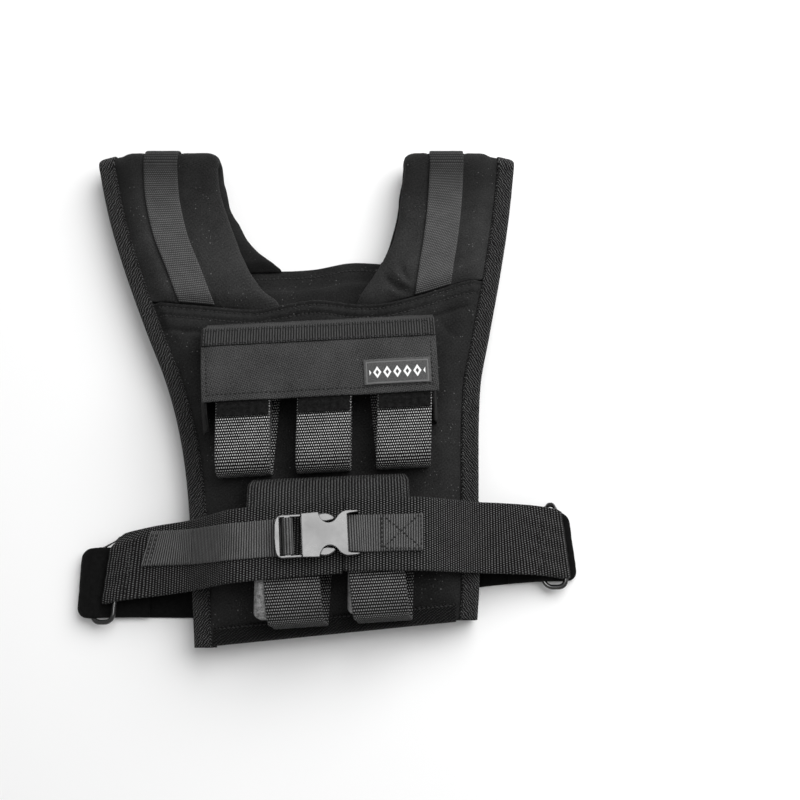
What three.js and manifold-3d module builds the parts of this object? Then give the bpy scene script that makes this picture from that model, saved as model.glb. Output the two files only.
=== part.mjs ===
import * as THREE from 'three';
import Module from 'manifold-3d';
import { mergeVertices } from 'three/addons/utils/BufferGeometryUtils.js';

const wasm = await Module();
wasm.setup();

// Weighted vest, lying on its back, in millimetres. X runs to the wearer's left arm, Y up to the shoulders
// and Z up. The origin is on the floor, under the middle of the whole vest.

// Driving dimensions of the body
const BODY_LENGTH = 374;
const SHOULDER_SPAN = 320;
const BACK_PAD = 10.5;
const FRONT_PAD = 9.9;
const TORSO_GAP = 10.3;
const EDGE_ROLL = 28;
const FLANGE_WALL = 3;
const BACK_FLANGE_FLOOR = 4.2;
const TUCK = 17;
const TUCK_HEIGHT = 5.2;
const LIP_WALL = 2.6;

// Driving dimensions of the shoulder straps
const STRAP_PAD = 12.2;
const STRAP_BACK_PAD = 10.8;
const STRAP_GAP = 7.8;
const STRAP_TUCK_INSET = 20;

// Widths and walls of the webbing and tape
const WEBBING_WIDE = 50;
const WEBBING_MEDIUM = 38;
const WEBBING_NARROW = 25;
const BELT_WALL = 1.8;
const WEBBING_WALL = 1.6;
const NARROW_WALL = 1.4;
const HOOK_STRAP_WALL = 2;
const BINDING_WIDTH = 11;
const BINDING_WALL = 1.1;
const CLOTH_WALL = 1.6;
const TRIM_WALL = 1;

// Weights and pockets
const WEIGHT_WIDTH = 36;
const WEIGHT_LENGTH = 70;
const WEIGHT_HEIGHT = 22;
const WEIGHT_DRAFT = 1;
const WEIGHT_EDGE = 3;
const WEIGHT_CORNER = 5;
const WEIGHT_PITCH = 57;
const FLAP_SIDE_ROOM = 8;
const FLAP_WIDTH = 2 * WEIGHT_PITCH + WEIGHT_WIDTH + 2 * FLAP_SIDE_ROOM;
const FLAP_DEPTH = 68;
const FLAP_TAPE_WIDTH = 14;
const LABEL_WIDTH = 47;
const LABEL_DEPTH = 19;
const POCKET_SIDE_REACH = 18;
const LOWER_FLAP_WIDTH = 112;

// Rings, side straps and buckle
const BELT_SPAN = 359;
const RING_WIRE = 3.5;
const RING_WIDTH = 15.5;
const RING_CORNER = 5;
const RING_HEIGHT = 10.5;
const GATHERED_WIDTH = 44;
const BUCKLE_LENGTH = 57;
const BUCKLE_WIDTH = 30;
const BUCKLE_HEIGHT = 9.6;
const BUCKLE_FRAME_HEIGHT = 5.6;
const BELT_BEND = 9;
const RING_LEAD = 4;
const SIDE_STRAP_SET_BACK = 10;

// Gaps between pieces that touch or are sewn together
const CLEARANCE = 0.3;
const SEW_GAP = 0.4;
const EDGE_GAP = 0.6;

// Heights above the floor, stacked up from the back of the vest
const FLANGE = BINDING_WIDTH + CLEARANCE + 0.2;
const frontFloor = BACK_PAD + TORSO_GAP;
const frontTop = frontFloor + FRONT_PAD;
const lipFloor = frontFloor + TUCK_HEIGHT + CLEARANCE;
const weightFloor = frontTop + WEBBING_WALL + 2 * CLEARANCE;
const weightTop = weightFloor + WEIGHT_HEIGHT;
const slingTop = weightTop + CLEARANCE + WEBBING_WALL;
const flapTop = slingTop + TRIM_WALL + 3 * CLEARANCE + CLOTH_WALL;
const lowerFlapTop = slingTop + CLEARANCE + BELT_WALL;
const beltMid = lowerFlapTop + CLEARANCE + BELT_WALL / 2;
const beltTop = beltMid + BELT_WALL / 2;
const bindingTop = frontFloor + FLANGE_WALL + CLEARANCE + BINDING_WALL;
const strapBackFloor = frontFloor - STRAP_GAP;
const foldRadius = STRAP_GAP / 2;
const foldHeight = frontFloor - foldRadius;
const foldY = BODY_LENGTH / 2 - foldRadius - STRAP_PAD - EDGE_GAP - NARROW_WALL;
const bindingOut = BINDING_WALL + EDGE_GAP;

const lerp = THREE.MathUtils.lerp;
const clamp = THREE.MathUtils.clamp;

// Outlines, as shares: along of BODY_LENGTH, across of SHOULDER_SPAN, both from the origin
const LEFT_EDGE = [
  { along: -0.5, across: -0.288 },
  { along: -0.374, across: -0.3 },
  { along: -0.233, across: -0.313 },
  { along: -0.107, across: -0.337 },
  { along: 0.002, across: -0.374 },
  { along: 0.111, across: -0.427 },
  { along: 0.233, across: -0.483 },
  { along: 0.348, across: -0.528 },
  { along: 0.476, across: -0.564 },
];
const RIGHT_EDGE = [
  { along: -0.45, across: 0.328 },
  { along: -0.377, across: 0.334 },
  { along: -0.214, across: 0.335 },
  { along: -0.005, across: 0.3425 },
  { along: 0.101, across: 0.365 },
  { along: 0.222, across: 0.392 },
  { along: 0.348, across: 0.416 },
  { along: 0.487, across: 0.435 },
];
const LEFT_NECK_FRONT = [
  { along: 0.1, across: -0.11 },
  { along: 0.167, across: -0.123 },
  { along: 0.19, across: -0.157 },
  { along: 0.22, across: -0.183 },
  { along: 0.262, across: -0.21 },
  { along: 0.304, across: -0.23 },
  { along: 0.391, across: -0.264 },
  { along: 0.437, across: -0.273 },
  { along: 0.5, across: -0.284 },
];
const RIGHT_NECK_FRONT = [
  { along: 0.1, across: 0.047 },
  { along: 0.174, across: 0.062 },
  { along: 0.22, across: 0.096 },
  { along: 0.256, across: 0.123 },
  { along: 0.283, across: 0.137 },
  { along: 0.314, across: 0.147 },
  { along: 0.391, across: 0.163 },
  { along: 0.5, across: 0.171 },
];
const LEFT_NECK_BACK = [
  { along: 0.2, across: -0.1 },
  { along: 0.253, across: -0.125 },
  { along: 0.283, across: -0.169 },
  { along: 0.313, across: -0.203 },
  { along: 0.348, across: -0.229 },
  { along: 0.389, across: -0.254 },
  { along: 0.5, across: -0.276 },
];
const RIGHT_NECK_BACK = [
  { along: 0.2, across: 0.085 },
  { along: 0.265, across: 0.112 },
  { along: 0.3, across: 0.132 },
  { along: 0.35, across: 0.148 },
  { along: 0.42, across: 0.162 },
  { along: 0.5, across: 0.168 },
];
// Seams along the top of each panel, from its left edge at 0 to its right edge at 1
const CHEST_SEAM = [
  { share: 0, along: 0.17 },
  { share: 0.16, along: 0.16 },
  { share: 0.33, along: 0.15 },
  { share: 0.41, along: 0.16 },
  { share: 0.5, along: 0.17 },
  { share: 0.62, along: 0.161 },
  { share: 0.7, along: 0.164 },
  { share: 0.8, along: 0.182 },
  { share: 0.92, along: 0.209 },
  { share: 1, along: 0.217 },
];
const BACK_SEAM = [
  { share: 0, along: 0.249 },
  { share: 0.4, along: 0.252 },
  { share: 0.5, along: 0.256 },
  { share: 0.6, along: 0.27 },
  { share: 0.72, along: 0.266 },
  { share: 1, along: 0.262 },
];
const HEM = [
  { share: 0, along: -0.498 },
  { share: 1, along: -0.447 },
];
// Left and right sides of the webbing on each shoulder strap
const WEBBING_LEFT = [
  { along: 0.15, across: -0.302 },
  { along: 0.234, across: -0.341 },
  { along: 0.3, across: -0.373 },
  { along: 0.36, across: -0.392 },
  { along: 0.4, across: -0.4 },
  { along: 0.5, across: -0.41 },
];
const WEBBING_RIGHT = [
  { along: 0.15, across: 0.228 },
  { along: 0.24, across: 0.243 },
  { along: 0.3, across: 0.254 },
  { along: 0.38, across: 0.264 },
  { along: 0.5, across: 0.271 },
];

// Smooth curve through the rows of a table
function curve(table, key, value) {
  const slope = (a, b) => (b[value] - a[value]) / (b[key] - a[key]);
  const tangents = table.map((row, i) => {
    const before = table[i - 1] ?? row;
    const after = table[i + 1] ?? row;
    return slope(before, after);
  });
  return (at) => {
    let i = table.findIndex((row) => row[key] > at) - 1;
    if (i === -2) i = table.length - 2;
    i = clamp(i, 0, table.length - 2);
    const span = table[i + 1][key] - table[i][key];
    const t = (at - table[i][key]) / span;
    if (t < 0) return table[i][value] + tangents[i] * t * span;
    if (t > 1) return table[i + 1][value] + tangents[i + 1] * (t - 1) * span;
    const t2 = t * t;
    const t3 = t2 * t;
    return table[i][value] * (2 * t3 - 3 * t2 + 1) + tangents[i] * span * (t3 - 2 * t2 + t)
      + table[i + 1][value] * (3 * t2 - 2 * t3) + tangents[i + 1] * span * (t3 - t2);
  };
}

// Place across the body, in millimetres, of an outline at a given Y
function outline(table) {
  const share = curve(table, 'along', 'across');
  return (y) => SHOULDER_SPAN * share(y / BODY_LENGTH);
}

const armholeLeft = outline(LEFT_EDGE);
const armholeRight = outline(RIGHT_EDGE);
const panelLeft = (y) => armholeLeft(y) + bindingOut;
const panelRight = (y) => armholeRight(y) - bindingOut;

// Y of a seam or hem at a given X
function crossLine(table) {
  const along = curve(table, 'share', 'along');
  const middle = BODY_LENGTH * along(0.5);
  return (x) => {
    const share = (x - panelLeft(middle)) / (panelRight(middle) - panelLeft(middle));
    return BODY_LENGTH * along(clamp(share, 0, 1));
  };
}
const chestSeam = crossLine(CHEST_SEAM);
const backSeam = crossLine(BACK_SEAM);
const hemLine = crossLine(HEM);
const panelHem = (x) => hemLine(x) + bindingOut;

// Closed solid from points and faces, with its faces pointing out
function closedSolid(points, triangles) {
  let volume = 0;
  const a = new THREE.Vector3();
  const b = new THREE.Vector3();
  const c = new THREE.Vector3();
  for (const [i, j, k] of triangles) {
    a.fromArray(points[i]);
    b.fromArray(points[j]);
    c.fromArray(points[k]);
    volume += a.dot(b.cross(c));
  }
  const facing = volume > 0 ? triangles : triangles.map(([i, j, k]) => [i, k, j]);
  const geometry = new THREE.BufferGeometry();
  geometry.setAttribute('position', new THREE.Float32BufferAttribute(points.flat(), 3));
  geometry.setIndex(facing.flat());
  geometry.computeVertexNormals();
  return geometry;
}

// Solid between two surfaces over one grid: pair(column, row) gives its lower and its upper point
function slab(columns, rows, pair) {
  const lows = [];
  const highs = [];
  for (const row of rows) {
    for (const column of columns) {
      const [low, high] = pair(column, row);
      lows.push(low);
      highs.push(high);
    }
  }
  const wide = columns.length;
  const count = lows.length;
  const triangles = [];
  const quad = (p, q, r, s) => triangles.push([p, q, r], [p, r, s]);
  const at = (i, j) => j * wide + i;
  for (let j = 0; j < rows.length - 1; j++) {
    for (let i = 0; i < wide - 1; i++) {
      quad(at(i, j), at(i, j + 1), at(i + 1, j + 1), at(i + 1, j));
      quad(count + at(i, j), count + at(i + 1, j), count + at(i + 1, j + 1), count + at(i, j + 1));
    }
  }
  const wall = (p, q) => quad(p, q, count + q, count + p);
  for (let i = 0; i < wide - 1; i++) {
    wall(at(i, 0), at(i + 1, 0));
    wall(at(i + 1, rows.length - 1), at(i, rows.length - 1));
  }
  for (let j = 0; j < rows.length - 1; j++) {
    wall(at(wide - 1, j), at(wide - 1, j + 1));
    wall(at(0, j + 1), at(0, j));
  }
  return closedSolid([...lows, ...highs], triangles);
}

// Solid stacked from closed sections of equal count, with flat ends, or joined end to end
function stack(sections, joined = false) {
  const sides = sections[0].length;
  const points = sections.flat();
  const triangles = [];
  const count = joined ? sections.length : sections.length - 1;
  for (let j = 0; j < count; j++) {
    const next = (j + 1) % sections.length;
    for (let i = 0; i < sides; i++) {
      const after = (i + 1) % sides;
      triangles.push([j * sides + i, j * sides + after, next * sides + after]);
      triangles.push([j * sides + i, next * sides + after, next * sides + i]);
    }
  }
  if (!joined) {
    const last = (sections.length - 1) * sides;
    for (let i = 1; i < sides - 1; i++) {
      triangles.push([0, i + 1, i]);
      triangles.push([last, last + i, last + i + 1]);
    }
  }
  return closedSolid(points, triangles);
}

// Path moved sideways by a distance, with mitred corners
function offsetPath(path, distance) {
  return path.map((point, i) => {
    const before = path[Math.max(i - 1, 0)];
    const after = path[Math.min(i + 1, path.length - 1)];
    const inward = new THREE.Vector2(point[0] - before[0], point[1] - before[1]).normalize();
    const outward = new THREE.Vector2(after[0] - point[0], after[1] - point[1]).normalize();
    const direction = inward.clone().add(outward).normalize();
    const half = Math.max(direction.dot(i === 0 ? outward : inward), 0.5);
    const reach = distance / half;
    return [point[0] - direction.y * reach, point[1] + direction.x * reach];
  });
}

// Path with each inner corner replaced by a short curve that starts and ends a given distance from it
function roundCorners(path, reach, steps = 3) {
  const rounded = [path[0]];
  for (let i = 1; i < path.length - 1; i++) {
    const corner = new THREE.Vector2(...path[i]);
    const toBefore = new THREE.Vector2(...path[i - 1]).sub(corner);
    const toAfter = new THREE.Vector2(...path[i + 1]).sub(corner);
    const start = corner.clone().add(toBefore.setLength(Math.min(reach, toBefore.length() / 2)));
    const end = corner.clone().add(toAfter.setLength(Math.min(reach, toAfter.length() / 2)));
    const bend = new THREE.QuadraticBezierCurve(start, corner, end);
    for (const point of bend.getPoints(steps)) rounded.push([point.x, point.y]);
  }
  rounded.push(path[path.length - 1]);
  return rounded;
}

// Stretch of a path between two values of its first coordinate
function clipPath(path, from, to) {
  const cut = (value) => {
    for (let i = 0; i < path.length - 1; i++) {
      const [a, b] = [path[i], path[i + 1]];
      if ((a[0] - value) * (b[0] - value) <= 0 && a[0] !== b[0]) {
        return [value, lerp(a[1], b[1], (value - a[0]) / (b[0] - a[0]))];
      }
    }
    return path[path.length - 1];
  };
  const low = Math.min(from, to);
  const high = Math.max(from, to);
  const inside = path.filter((point) => point[0] > low + 0.5 && point[0] < high - 0.5);
  return [cut(from), ...inside, cut(to)];
}

// Arc of points in a plane
function arc(x, y, radius, from, to, steps) {
  return Array.from({ length: steps + 1 }, (_, i) => {
    const angle = THREE.MathUtils.degToRad(lerp(from, to, i / steps));
    return [x + radius * Math.cos(angle), y + radius * Math.sin(angle)];
  });
}

// Strip of even thickness along a path; place turns a path point and a side from -1 to 1 into X, Y, Z
function strip(path, wall, place, sides = [-1, 1]) {
  const low = offsetPath(path, -wall / 2);
  const high = offsetPath(path, wall / 2);
  return slab(sides, path.map((_, i) => i), (side, i) => [place(low[i], side, i), place(high[i], side, i)]);
}

// Colours and finishes
const finish = (color, roughness, metalness = 0) => (
  new THREE.MeshStandardMaterial({ color, roughness, metalness }));
const cloth = finish(0x1a1a1b, 0.85);
const paddedCloth = finish(0x262628, 0.85);
const webbing = finish(0x343436, 0.75);
const shoulderWebbing = finish(0x464648, 0.7);
const slingWebbing = finish(0x5a5a5c, 0.65);
const tape = finish(0x2a2a2c, 0.8);
const hookFabric = finish(0x060606, 1);
const castIron = finish(0x3a3a3c, 0.6, 0.4);
const mouldedPlastic = finish(0x50514f, 0.35);
const labelCloth = finish(0x4a4a4c, 0.8);
const blackWire = finish(0x2a2a2a, 0.25, 0.8);

const vest = new THREE.Group();
function add(name, geometry, material, parent = vest) {
  const mesh = new THREE.Mesh(geometry, material);
  mesh.name = name;
  parent.add(mesh);
  return mesh;
}

// Padded panels: a flat edge under the binding, then a rise to the full pad
const edgeSteps = [0, FLANGE, lerp(FLANGE, EDGE_ROLL, 0.4), EDGE_ROLL];
const edgeRises = [0, 0, 0.7, 1];

function panel({ bottom, seam, floor, pad, flangeFloor, lipLow, lipHigh, tuck, columnCount, rowCount }) {
  const columns = [
    ...edgeSteps.map((inward, i) => ({ side: -1, inward, rise: edgeRises[i] })),
    ...Array.from({ length: columnCount }, (_, i) => ({ share: (i + 1) / (columnCount + 1), rise: 1 })),
    ...edgeSteps.map((inward, i) => ({ side: 1, inward, rise: edgeRises[i] })).reverse(),
  ];
  const rows = [
    ...edgeSteps.map((inward, i) => ({ above: inward, rise: edgeRises[i] })),
    ...Array.from({ length: rowCount }, (_, i) => ({ share: (i + 1) / (rowCount + 1), rise: 1 })),
    { below: tuck + 8, rise: 1 },
    { below: tuck + 1.5, lip: true },
    { below: 0, lip: true },
  ];
  const xAt = (column, y) => {
    if (column.side === -1) return panelLeft(y) + column.inward;
    if (column.side === 1) return panelRight(y) - column.inward;
    return lerp(panelLeft(y) + EDGE_ROLL, panelRight(y) - EDGE_ROLL, column.share);
  };
  return slab(columns, rows, (column, row) => {
    const start = bottom(xAt(column, -BODY_LENGTH / 2));
    const end = seam(xAt(column, BODY_LENGTH * 0.2));
    let y = lerp(start + EDGE_ROLL, end - tuck - 8, row.share);
    if (row.above !== undefined) y = start + row.above;
    if (row.below !== undefined) y = end - row.below;
    const x = xAt(column, y);
    if (row.lip && column.rise > 0) return [[x, y, lipLow], [x, y, lipHigh]];
    const rise = Math.min(column.rise, row.rise ?? 0);
    return [
      [x, y, floor + lerp(flangeFloor, 0, rise)],
      [x, y, floor + lerp(flangeFloor + FLANGE_WALL, pad, rise)],
    ];
  });
}

const BACK_LIP_FLOOR = 1;
const BACK_LIP_TOP = 4.6;
const BACK_TUCK = 12;
add('back_panel', panel({
  bottom: panelHem,
  seam: backSeam,
  floor: 0,
  pad: BACK_PAD,
  flangeFloor: BACK_FLANGE_FLOOR,
  lipLow: BACK_LIP_FLOOR,
  lipHigh: BACK_LIP_TOP,
  tuck: BACK_TUCK,
  columnCount: 4,
  rowCount: 7,
}), cloth);
add('front_panel', panel({
  bottom: panelHem,
  seam: chestSeam,
  floor: frontFloor,
  pad: FRONT_PAD,
  flangeFloor: 0,
  lipLow: lipFloor,
  lipHigh: lipFloor + LIP_WALL,
  tuck: TUCK,
  columnCount: 6,
  rowCount: 8,
}), cloth);

// Shoulder straps fold over at the top. A height is measured out from the inner face of the fold:
// up on the front layer and down on the back layer.
const FOLD_STEPS = 6;
const STRAP_ROWS = 5;
const backFlangeHeight = strapBackFloor - BACK_FLANGE_FLOOR - FLANGE_WALL;

function foldPoint(station, x, height) {
  if (station.layer === 'front') return [x, station.y, frontFloor + height];
  if (station.layer === 'back') return [x, station.y, strapBackFloor - height];
  const radius = foldRadius + height;
  return [x, foldY + radius * Math.sin(station.angle), foldHeight + radius * Math.cos(station.angle)];
}

// Height of the flat edge at a station, and the Y at which outlines are read there
const turned = (station) => ({ front: 0, back: 1 }[station.layer] ?? station.angle / Math.PI);
const flangeHeight = (station) => backFlangeHeight * turned(station);
function outlineY(station) {
  if (station.layer !== 'fold') return station.y;
  return foldY + (foldRadius + FLANGE_WALL / 2) * Math.sin(station.angle);
}

const foldStations = Array.from({ length: FOLD_STEPS + 1 }, (_, i) => {
  const angle = Math.PI * i / FOLD_STEPS;
  const share = i / FOLD_STEPS;
  return { layer: 'fold', angle, low: 0, high: lerp(STRAP_PAD, STRAP_BACK_PAD, share) };
});

// Rows of the strap near each seam: past is the distance above the seam
const backTuckHeight = strapBackFloor - BACK_LIP_TOP - CLEARANCE;
const FRONT_ENDS = [
  { past: -TUCK, low: 0, high: TUCK_HEIGHT, tucked: true },
  { past: SEW_GAP, low: 0, high: TUCK_HEIGHT, tucked: true },
  { past: 4 * SEW_GAP, low: 0, high: TUCK_HEIGHT },
  { past: TUCK * 0.4, low: 0, high: STRAP_PAD * 0.8 },
  { past: TUCK * 0.8, low: 0, high: STRAP_PAD },
];
const BACK_ENDS = [
  { past: TUCK * 0.8, low: 0, high: STRAP_BACK_PAD },
  { past: TUCK * 0.4, low: STRAP_BACK_PAD * 0.08, high: STRAP_BACK_PAD * 0.93 },
  { past: 4 * SEW_GAP, low: STRAP_BACK_PAD * 0.2, high: backTuckHeight },
  { past: SEW_GAP, low: STRAP_BACK_PAD * 0.22, high: backTuckHeight, tucked: true },
  { past: -BACK_TUCK, low: STRAP_BACK_PAD * 0.3, high: backTuckHeight, tucked: true },
];

// Columns of the strap: in from the outer edge, or in from the neck edge where it rolls over
const STRAP_COLUMNS = [
  { from: 'edge', inward: 0, rise: 0 },
  { from: 'edge', inward: FLANGE, rise: 0 },
  { from: 'edge', inward: FLANGE * 1.5, rise: 0.6 },
  { from: 'edge', inward: FLANGE * 2.2, rise: 1 },
  { from: 'middle', share: 0.25, rise: 1 },
  { from: 'middle', share: 0.5, rise: 1 },
  { from: 'middle', share: 0.75, rise: 1 },
  { from: 'neck', inward: STRAP_PAD * 1.3, rise: 1, under: 0, over: 1 },
  { from: 'neck', inward: STRAP_PAD * 0.55, rise: 1, under: 0.03, over: 0.94 },
  { from: 'neck', inward: STRAP_PAD * 0.16, rise: 1, under: 0.14, over: 0.78 },
  { from: 'neck', inward: 0, rise: 1, under: 0.32, over: 0.56 },
];

function strapShape(side) {
  const edge = side < 0 ? panelLeft : panelRight;
  const neckFront = outline(side < 0 ? LEFT_NECK_FRONT : RIGHT_NECK_FRONT);
  const neckBack = outline(side < 0 ? LEFT_NECK_BACK : RIGHT_NECK_BACK);
  const inward = -side;
  const columnX = (column, station) => {
    const y = outlineY(station);
    const outer = edge(y);
    const neck = lerp(neckFront(y), neckBack(y), turned(station));
    const start = outer + inward * FLANGE * 2.2;
    const finishAt = neck - inward * STRAP_PAD * 1.3;
    let x = lerp(start, finishAt, column.share ?? 0);
    if (column.from === 'edge') x = outer + inward * column.inward;
    if (column.from === 'neck') x = neck - inward * column.inward;
    if (!station.tucked) return x;
    const tucked = outer + inward * STRAP_TUCK_INSET;
    return lerp(tucked, neck, (x - outer) / (neck - outer));
  };
  // Stations whose Y follows the seam differ across the strap; xAt gives X at a station
  const stationAt = (station, xAt) => {
    if (station.layer === 'fold') return station;
    const front = station.layer === 'front';
    const nominal = { layer: station.layer, y: BODY_LENGTH * (front ? 0.17 : 0.26) };
    const seamY = (front ? chestSeam : backSeam)(xAt(nominal));
    if (station.past !== undefined) return { ...station, y: seamY + station.past };
    return { ...station, y: lerp(seamY + TUCK * 0.8, foldY, station.share) };
  };
  const between = (layer, high) => Array.from({ length: STRAP_ROWS }, (_, i) => (
    { layer, share: (i + 1) / (STRAP_ROWS + 1), low: 0, high }));
  const stations = [
    ...FRONT_ENDS.map((end) => ({ ...end, layer: 'front' })),
    ...between('front', STRAP_PAD),
    ...foldStations,
    ...between('back', STRAP_BACK_PAD).reverse(),
    ...BACK_ENDS.map((end) => ({ ...end, layer: 'back' })),
  ];
  return { stations, stationAt, columnX };
}

function shoulderStrap(side) {
  const { stations, stationAt, columnX } = strapShape(side);
  return slab(STRAP_COLUMNS, stations, (column, row) => {
    const station = stationAt(row, (at) => columnX(column, at));
    const x = columnX(column, station);
    const flange = flangeHeight(station);
    const edgeHigh = Math.min(flange + FLANGE_WALL, station.tucked ? station.high : Infinity);
    const low = lerp(flange, station.low, column.rise);
    const high = lerp(edgeHigh, station.high, column.rise);
    return [
      foldPoint(station, x, lerp(low, high, column.under ?? 0)),
      foldPoint(station, x, lerp(low, high, column.over ?? 1)),
    ];
  });
}

// Webbing lies on the outer face of the strap, from the chest seam over the fold to the back seam
function strapWebbing(side) {
  const { stations, stationAt } = strapShape(side);
  const middle = outline(side < 0 ? WEBBING_LEFT : WEBBING_RIGHT);
  const shown = stations.slice(2, stations.length - 3);
  return slab([-1, 1], shown, (edgeSide, row) => {
    const xAt = (at) => middle(outlineY(at)) + edgeSide * WEBBING_NARROW / 2;
    const station = stationAt(row, xAt);
    const steep = station.layer === 'front' && station.past !== undefined;
    const low = station.high + (steep ? 2 * EDGE_GAP : EDGE_GAP);
    return [
      foldPoint(station, xAt(station), low),
      foldPoint(station, xAt(station), low + NARROW_WALL),
    ];
  });
}

for (const [side, word] of [[-1, 'left'], [1, 'right']]) {
  add(`shoulder_strap_${word}`, shoulderStrap(side), paddedCloth);
  add(`shoulder_webbing_${word}`, strapWebbing(side), shoulderWebbing);
}

// Binding: tape folded over an edge. Each row of the section has its inner and its outer corner,
// inward from the edge and out from the lower face of the edge.
const legLow = -CLEARANCE;
const legHigh = FLANGE_WALL + CLEARANCE;
const bindingSection = [
  { inside: [BINDING_WIDTH, legLow], outside: [BINDING_WIDTH, legLow - BINDING_WALL] },
  { inside: [-EDGE_GAP, legLow], outside: [-EDGE_GAP, legLow - BINDING_WALL] },
  { inside: [-EDGE_GAP, FLANGE_WALL / 2], outside: [-bindingOut, FLANGE_WALL / 2] },
  { inside: [-EDGE_GAP, legHigh], outside: [-EDGE_GAP, legHigh + BINDING_WALL] },
  { inside: [BINDING_WIDTH, legHigh], outside: [BINDING_WIDTH, legHigh + BINDING_WALL] },
];
const BINDING_ROWS = 11;

function sideBinding(side) {
  const edge = side < 0 ? panelLeft : panelRight;
  const hemY = hemLine(edge(-BODY_LENGTH / 2));
  const run = Array.from({ length: BINDING_ROWS }, (_, i) => lerp(hemY, foldY, i / BINDING_ROWS));
  const stations = [
    ...run.map((y) => ({ layer: 'front', y })),
    ...foldStations,
    ...run.reverse().map((y) => ({ layer: 'back', y })),
  ];
  return slab(bindingSection, stations, (corner, station) => {
    const place = ([inward, height]) => {
      const x = edge(outlineY(station)) - side * inward;
      return foldPoint(station, x, flangeHeight(station) + height);
    };
    return [place(corner.inside), place(corner.outside)];
  });
}

function hemBinding(floor) {
  const steps = Array.from({ length: 7 }, (_, i) => i / 6);
  return slab(bindingSection, steps, (corner, share) => {
    const place = ([inward, height]) => {
      const low = panelLeft(-BODY_LENGTH / 2) + FLANGE + CLEARANCE;
      const high = panelRight(-BODY_LENGTH / 2) - FLANGE - CLEARANCE;
      const x = lerp(low, high, share);
      return [x, panelHem(x) + inward, floor + height];
    };
    return [place(corner.inside), place(corner.outside)];
  });
}

add('side_binding_left', sideBinding(-1), tape);
add('side_binding_right', sideBinding(1), tape);
add('hem_binding_front', hemBinding(frontFloor), tape);
add('hem_binding_back', hemBinding(BACK_FLANGE_FLOOR), tape);

// Rounded rectangle, counter-clockwise
function roundedRectangle(halfWidth, halfLength, radius, steps) {
  const corners = [[1, 1, 0], [-1, 1, 90], [-1, -1, 180], [1, -1, 270]];
  return corners.flatMap(([sx, sy, from]) => arc(
    sx * (halfWidth - radius), sy * (halfLength - radius), radius, from, from + 90, steps));
}

// Cast weight, lying along Y from 0 to WEIGHT_LENGTH, with drafted sides and rounded edges
const WEIGHT_SECTIONS = [
  { height: 0, edge: 0.4, draft: 0 },
  { height: 0.06, edge: 0, draft: 0 },
  { height: 0.84, edge: 0, draft: 0.9 },
  { height: 0.95, edge: 0.32, draft: 1 },
  { height: 1, edge: 1, draft: 1 },
];
function castWeight() {
  return stack(WEIGHT_SECTIONS.map(({ height, edge, draft }) => {
    const inset = edge * WEIGHT_EDGE + draft * WEIGHT_DRAFT;
    const radius = WEIGHT_CORNER - edge * WEIGHT_EDGE * 0.6;
    const section = roundedRectangle(WEIGHT_WIDTH / 2 - inset, WEIGHT_LENGTH / 2 - inset, radius, 3);
    return section.map(([x, y]) => [x, y + WEIGHT_LENGTH / 2, weightFloor + height * WEIGHT_HEIGHT]);
  }));
}

// Sling: webbing that lies behind the weight, turns round its lower end and comes back over its front.
// The shifts are its moves to the side at its front end, at the turn and at its back end.
const slingBehind = frontTop + CLEARANCE + WEBBING_WALL / 2;
const slingBefore = weightTop + CLEARANCE + WEBBING_WALL / 2;
const SLING_FRONT_SHARE = 0.8;
const SLING_BACK_SHARE = 0.9;
function slingPath() {
  const wrap = WEBBING_WALL / 2 + 2.5 * CLEARANCE;
  const corner = WEIGHT_EDGE + wrap;
  const low = WEBBING_WALL * 1.6;
  return [
    [WEIGHT_LENGTH * SLING_BACK_SHARE, slingBehind],
    [WEIGHT_LENGTH * 0.3, slingBehind],
    ...arc(low - wrap, slingBehind + low, low, -90, -180, 3).map(([y, z]) => [y, z]),
    ...arc(corner - wrap, slingBefore - corner, corner, 180, 90, 4),
    [WEIGHT_LENGTH * 0.3, slingBefore],
    [WEIGHT_LENGTH * SLING_FRONT_SHARE, slingBefore],
  ];
}
function sling({ front, turn, back }) {
  const path = slingPath();
  const shiftAt = (i, y) => {
    const share = Math.max(y, 0) / WEIGHT_LENGTH;
    return i < path.length / 2 ? lerp(turn, back, share) : lerp(turn, front, share);
  };
  return strip(path, WEBBING_WALL, ([y, z], side, i) => (
    [shiftAt(i, path[i][0]) + side * WEBBING_MEDIUM / 2, y, z]));
}

// Hook and loop patch on the front of a sling, under the flap
const PATCH_START_SHARE = 0.53;
function slingPatch({ front, turn }) {
  const rows = [PATCH_START_SHARE, SLING_FRONT_SHARE - 0.02];
  return slab([-1, 1], rows, (side, share) => {
    const x = lerp(turn, front, share) + side * (WEBBING_MEDIUM / 2 - TRIM_WALL);
    const y = WEIGHT_LENGTH * share;
    return [[x, y, slingTop + CLEARANCE], [x, y, slingTop + CLEARANCE + TRIM_WALL]];
  });
}

// Upper pockets: turned a little to the left arm, with three weights
const UPPER_X = -0.017;
const UPPER_TURN = 3;
const upperPockets = new THREE.Group();
upperPockets.position.set(UPPER_X * SHOULDER_SPAN, 0, 0);
upperPockets.rotation.z = THREE.MathUtils.degToRad(UPPER_TURN);
vest.add(upperPockets);

const UPPER_WEIGHTS = [
  { column: -1, front: 0, turn: 0.8, back: 6 },
  { column: 0, front: 0.5, turn: -0.5, back: 0 },
  { column: 1, front: 0, turn: -1.5, back: -8 },
];
const UPPER_WEIGHT_END = -0.167;
const LOWER_WEIGHTS = [
  { x: -0.097, end: -0.448, front: 5, turn: 11, back: 15 },
  { x: 0.1016, end: -0.4375, front: -1.5, turn: 5.5, back: 8 },
];

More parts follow.
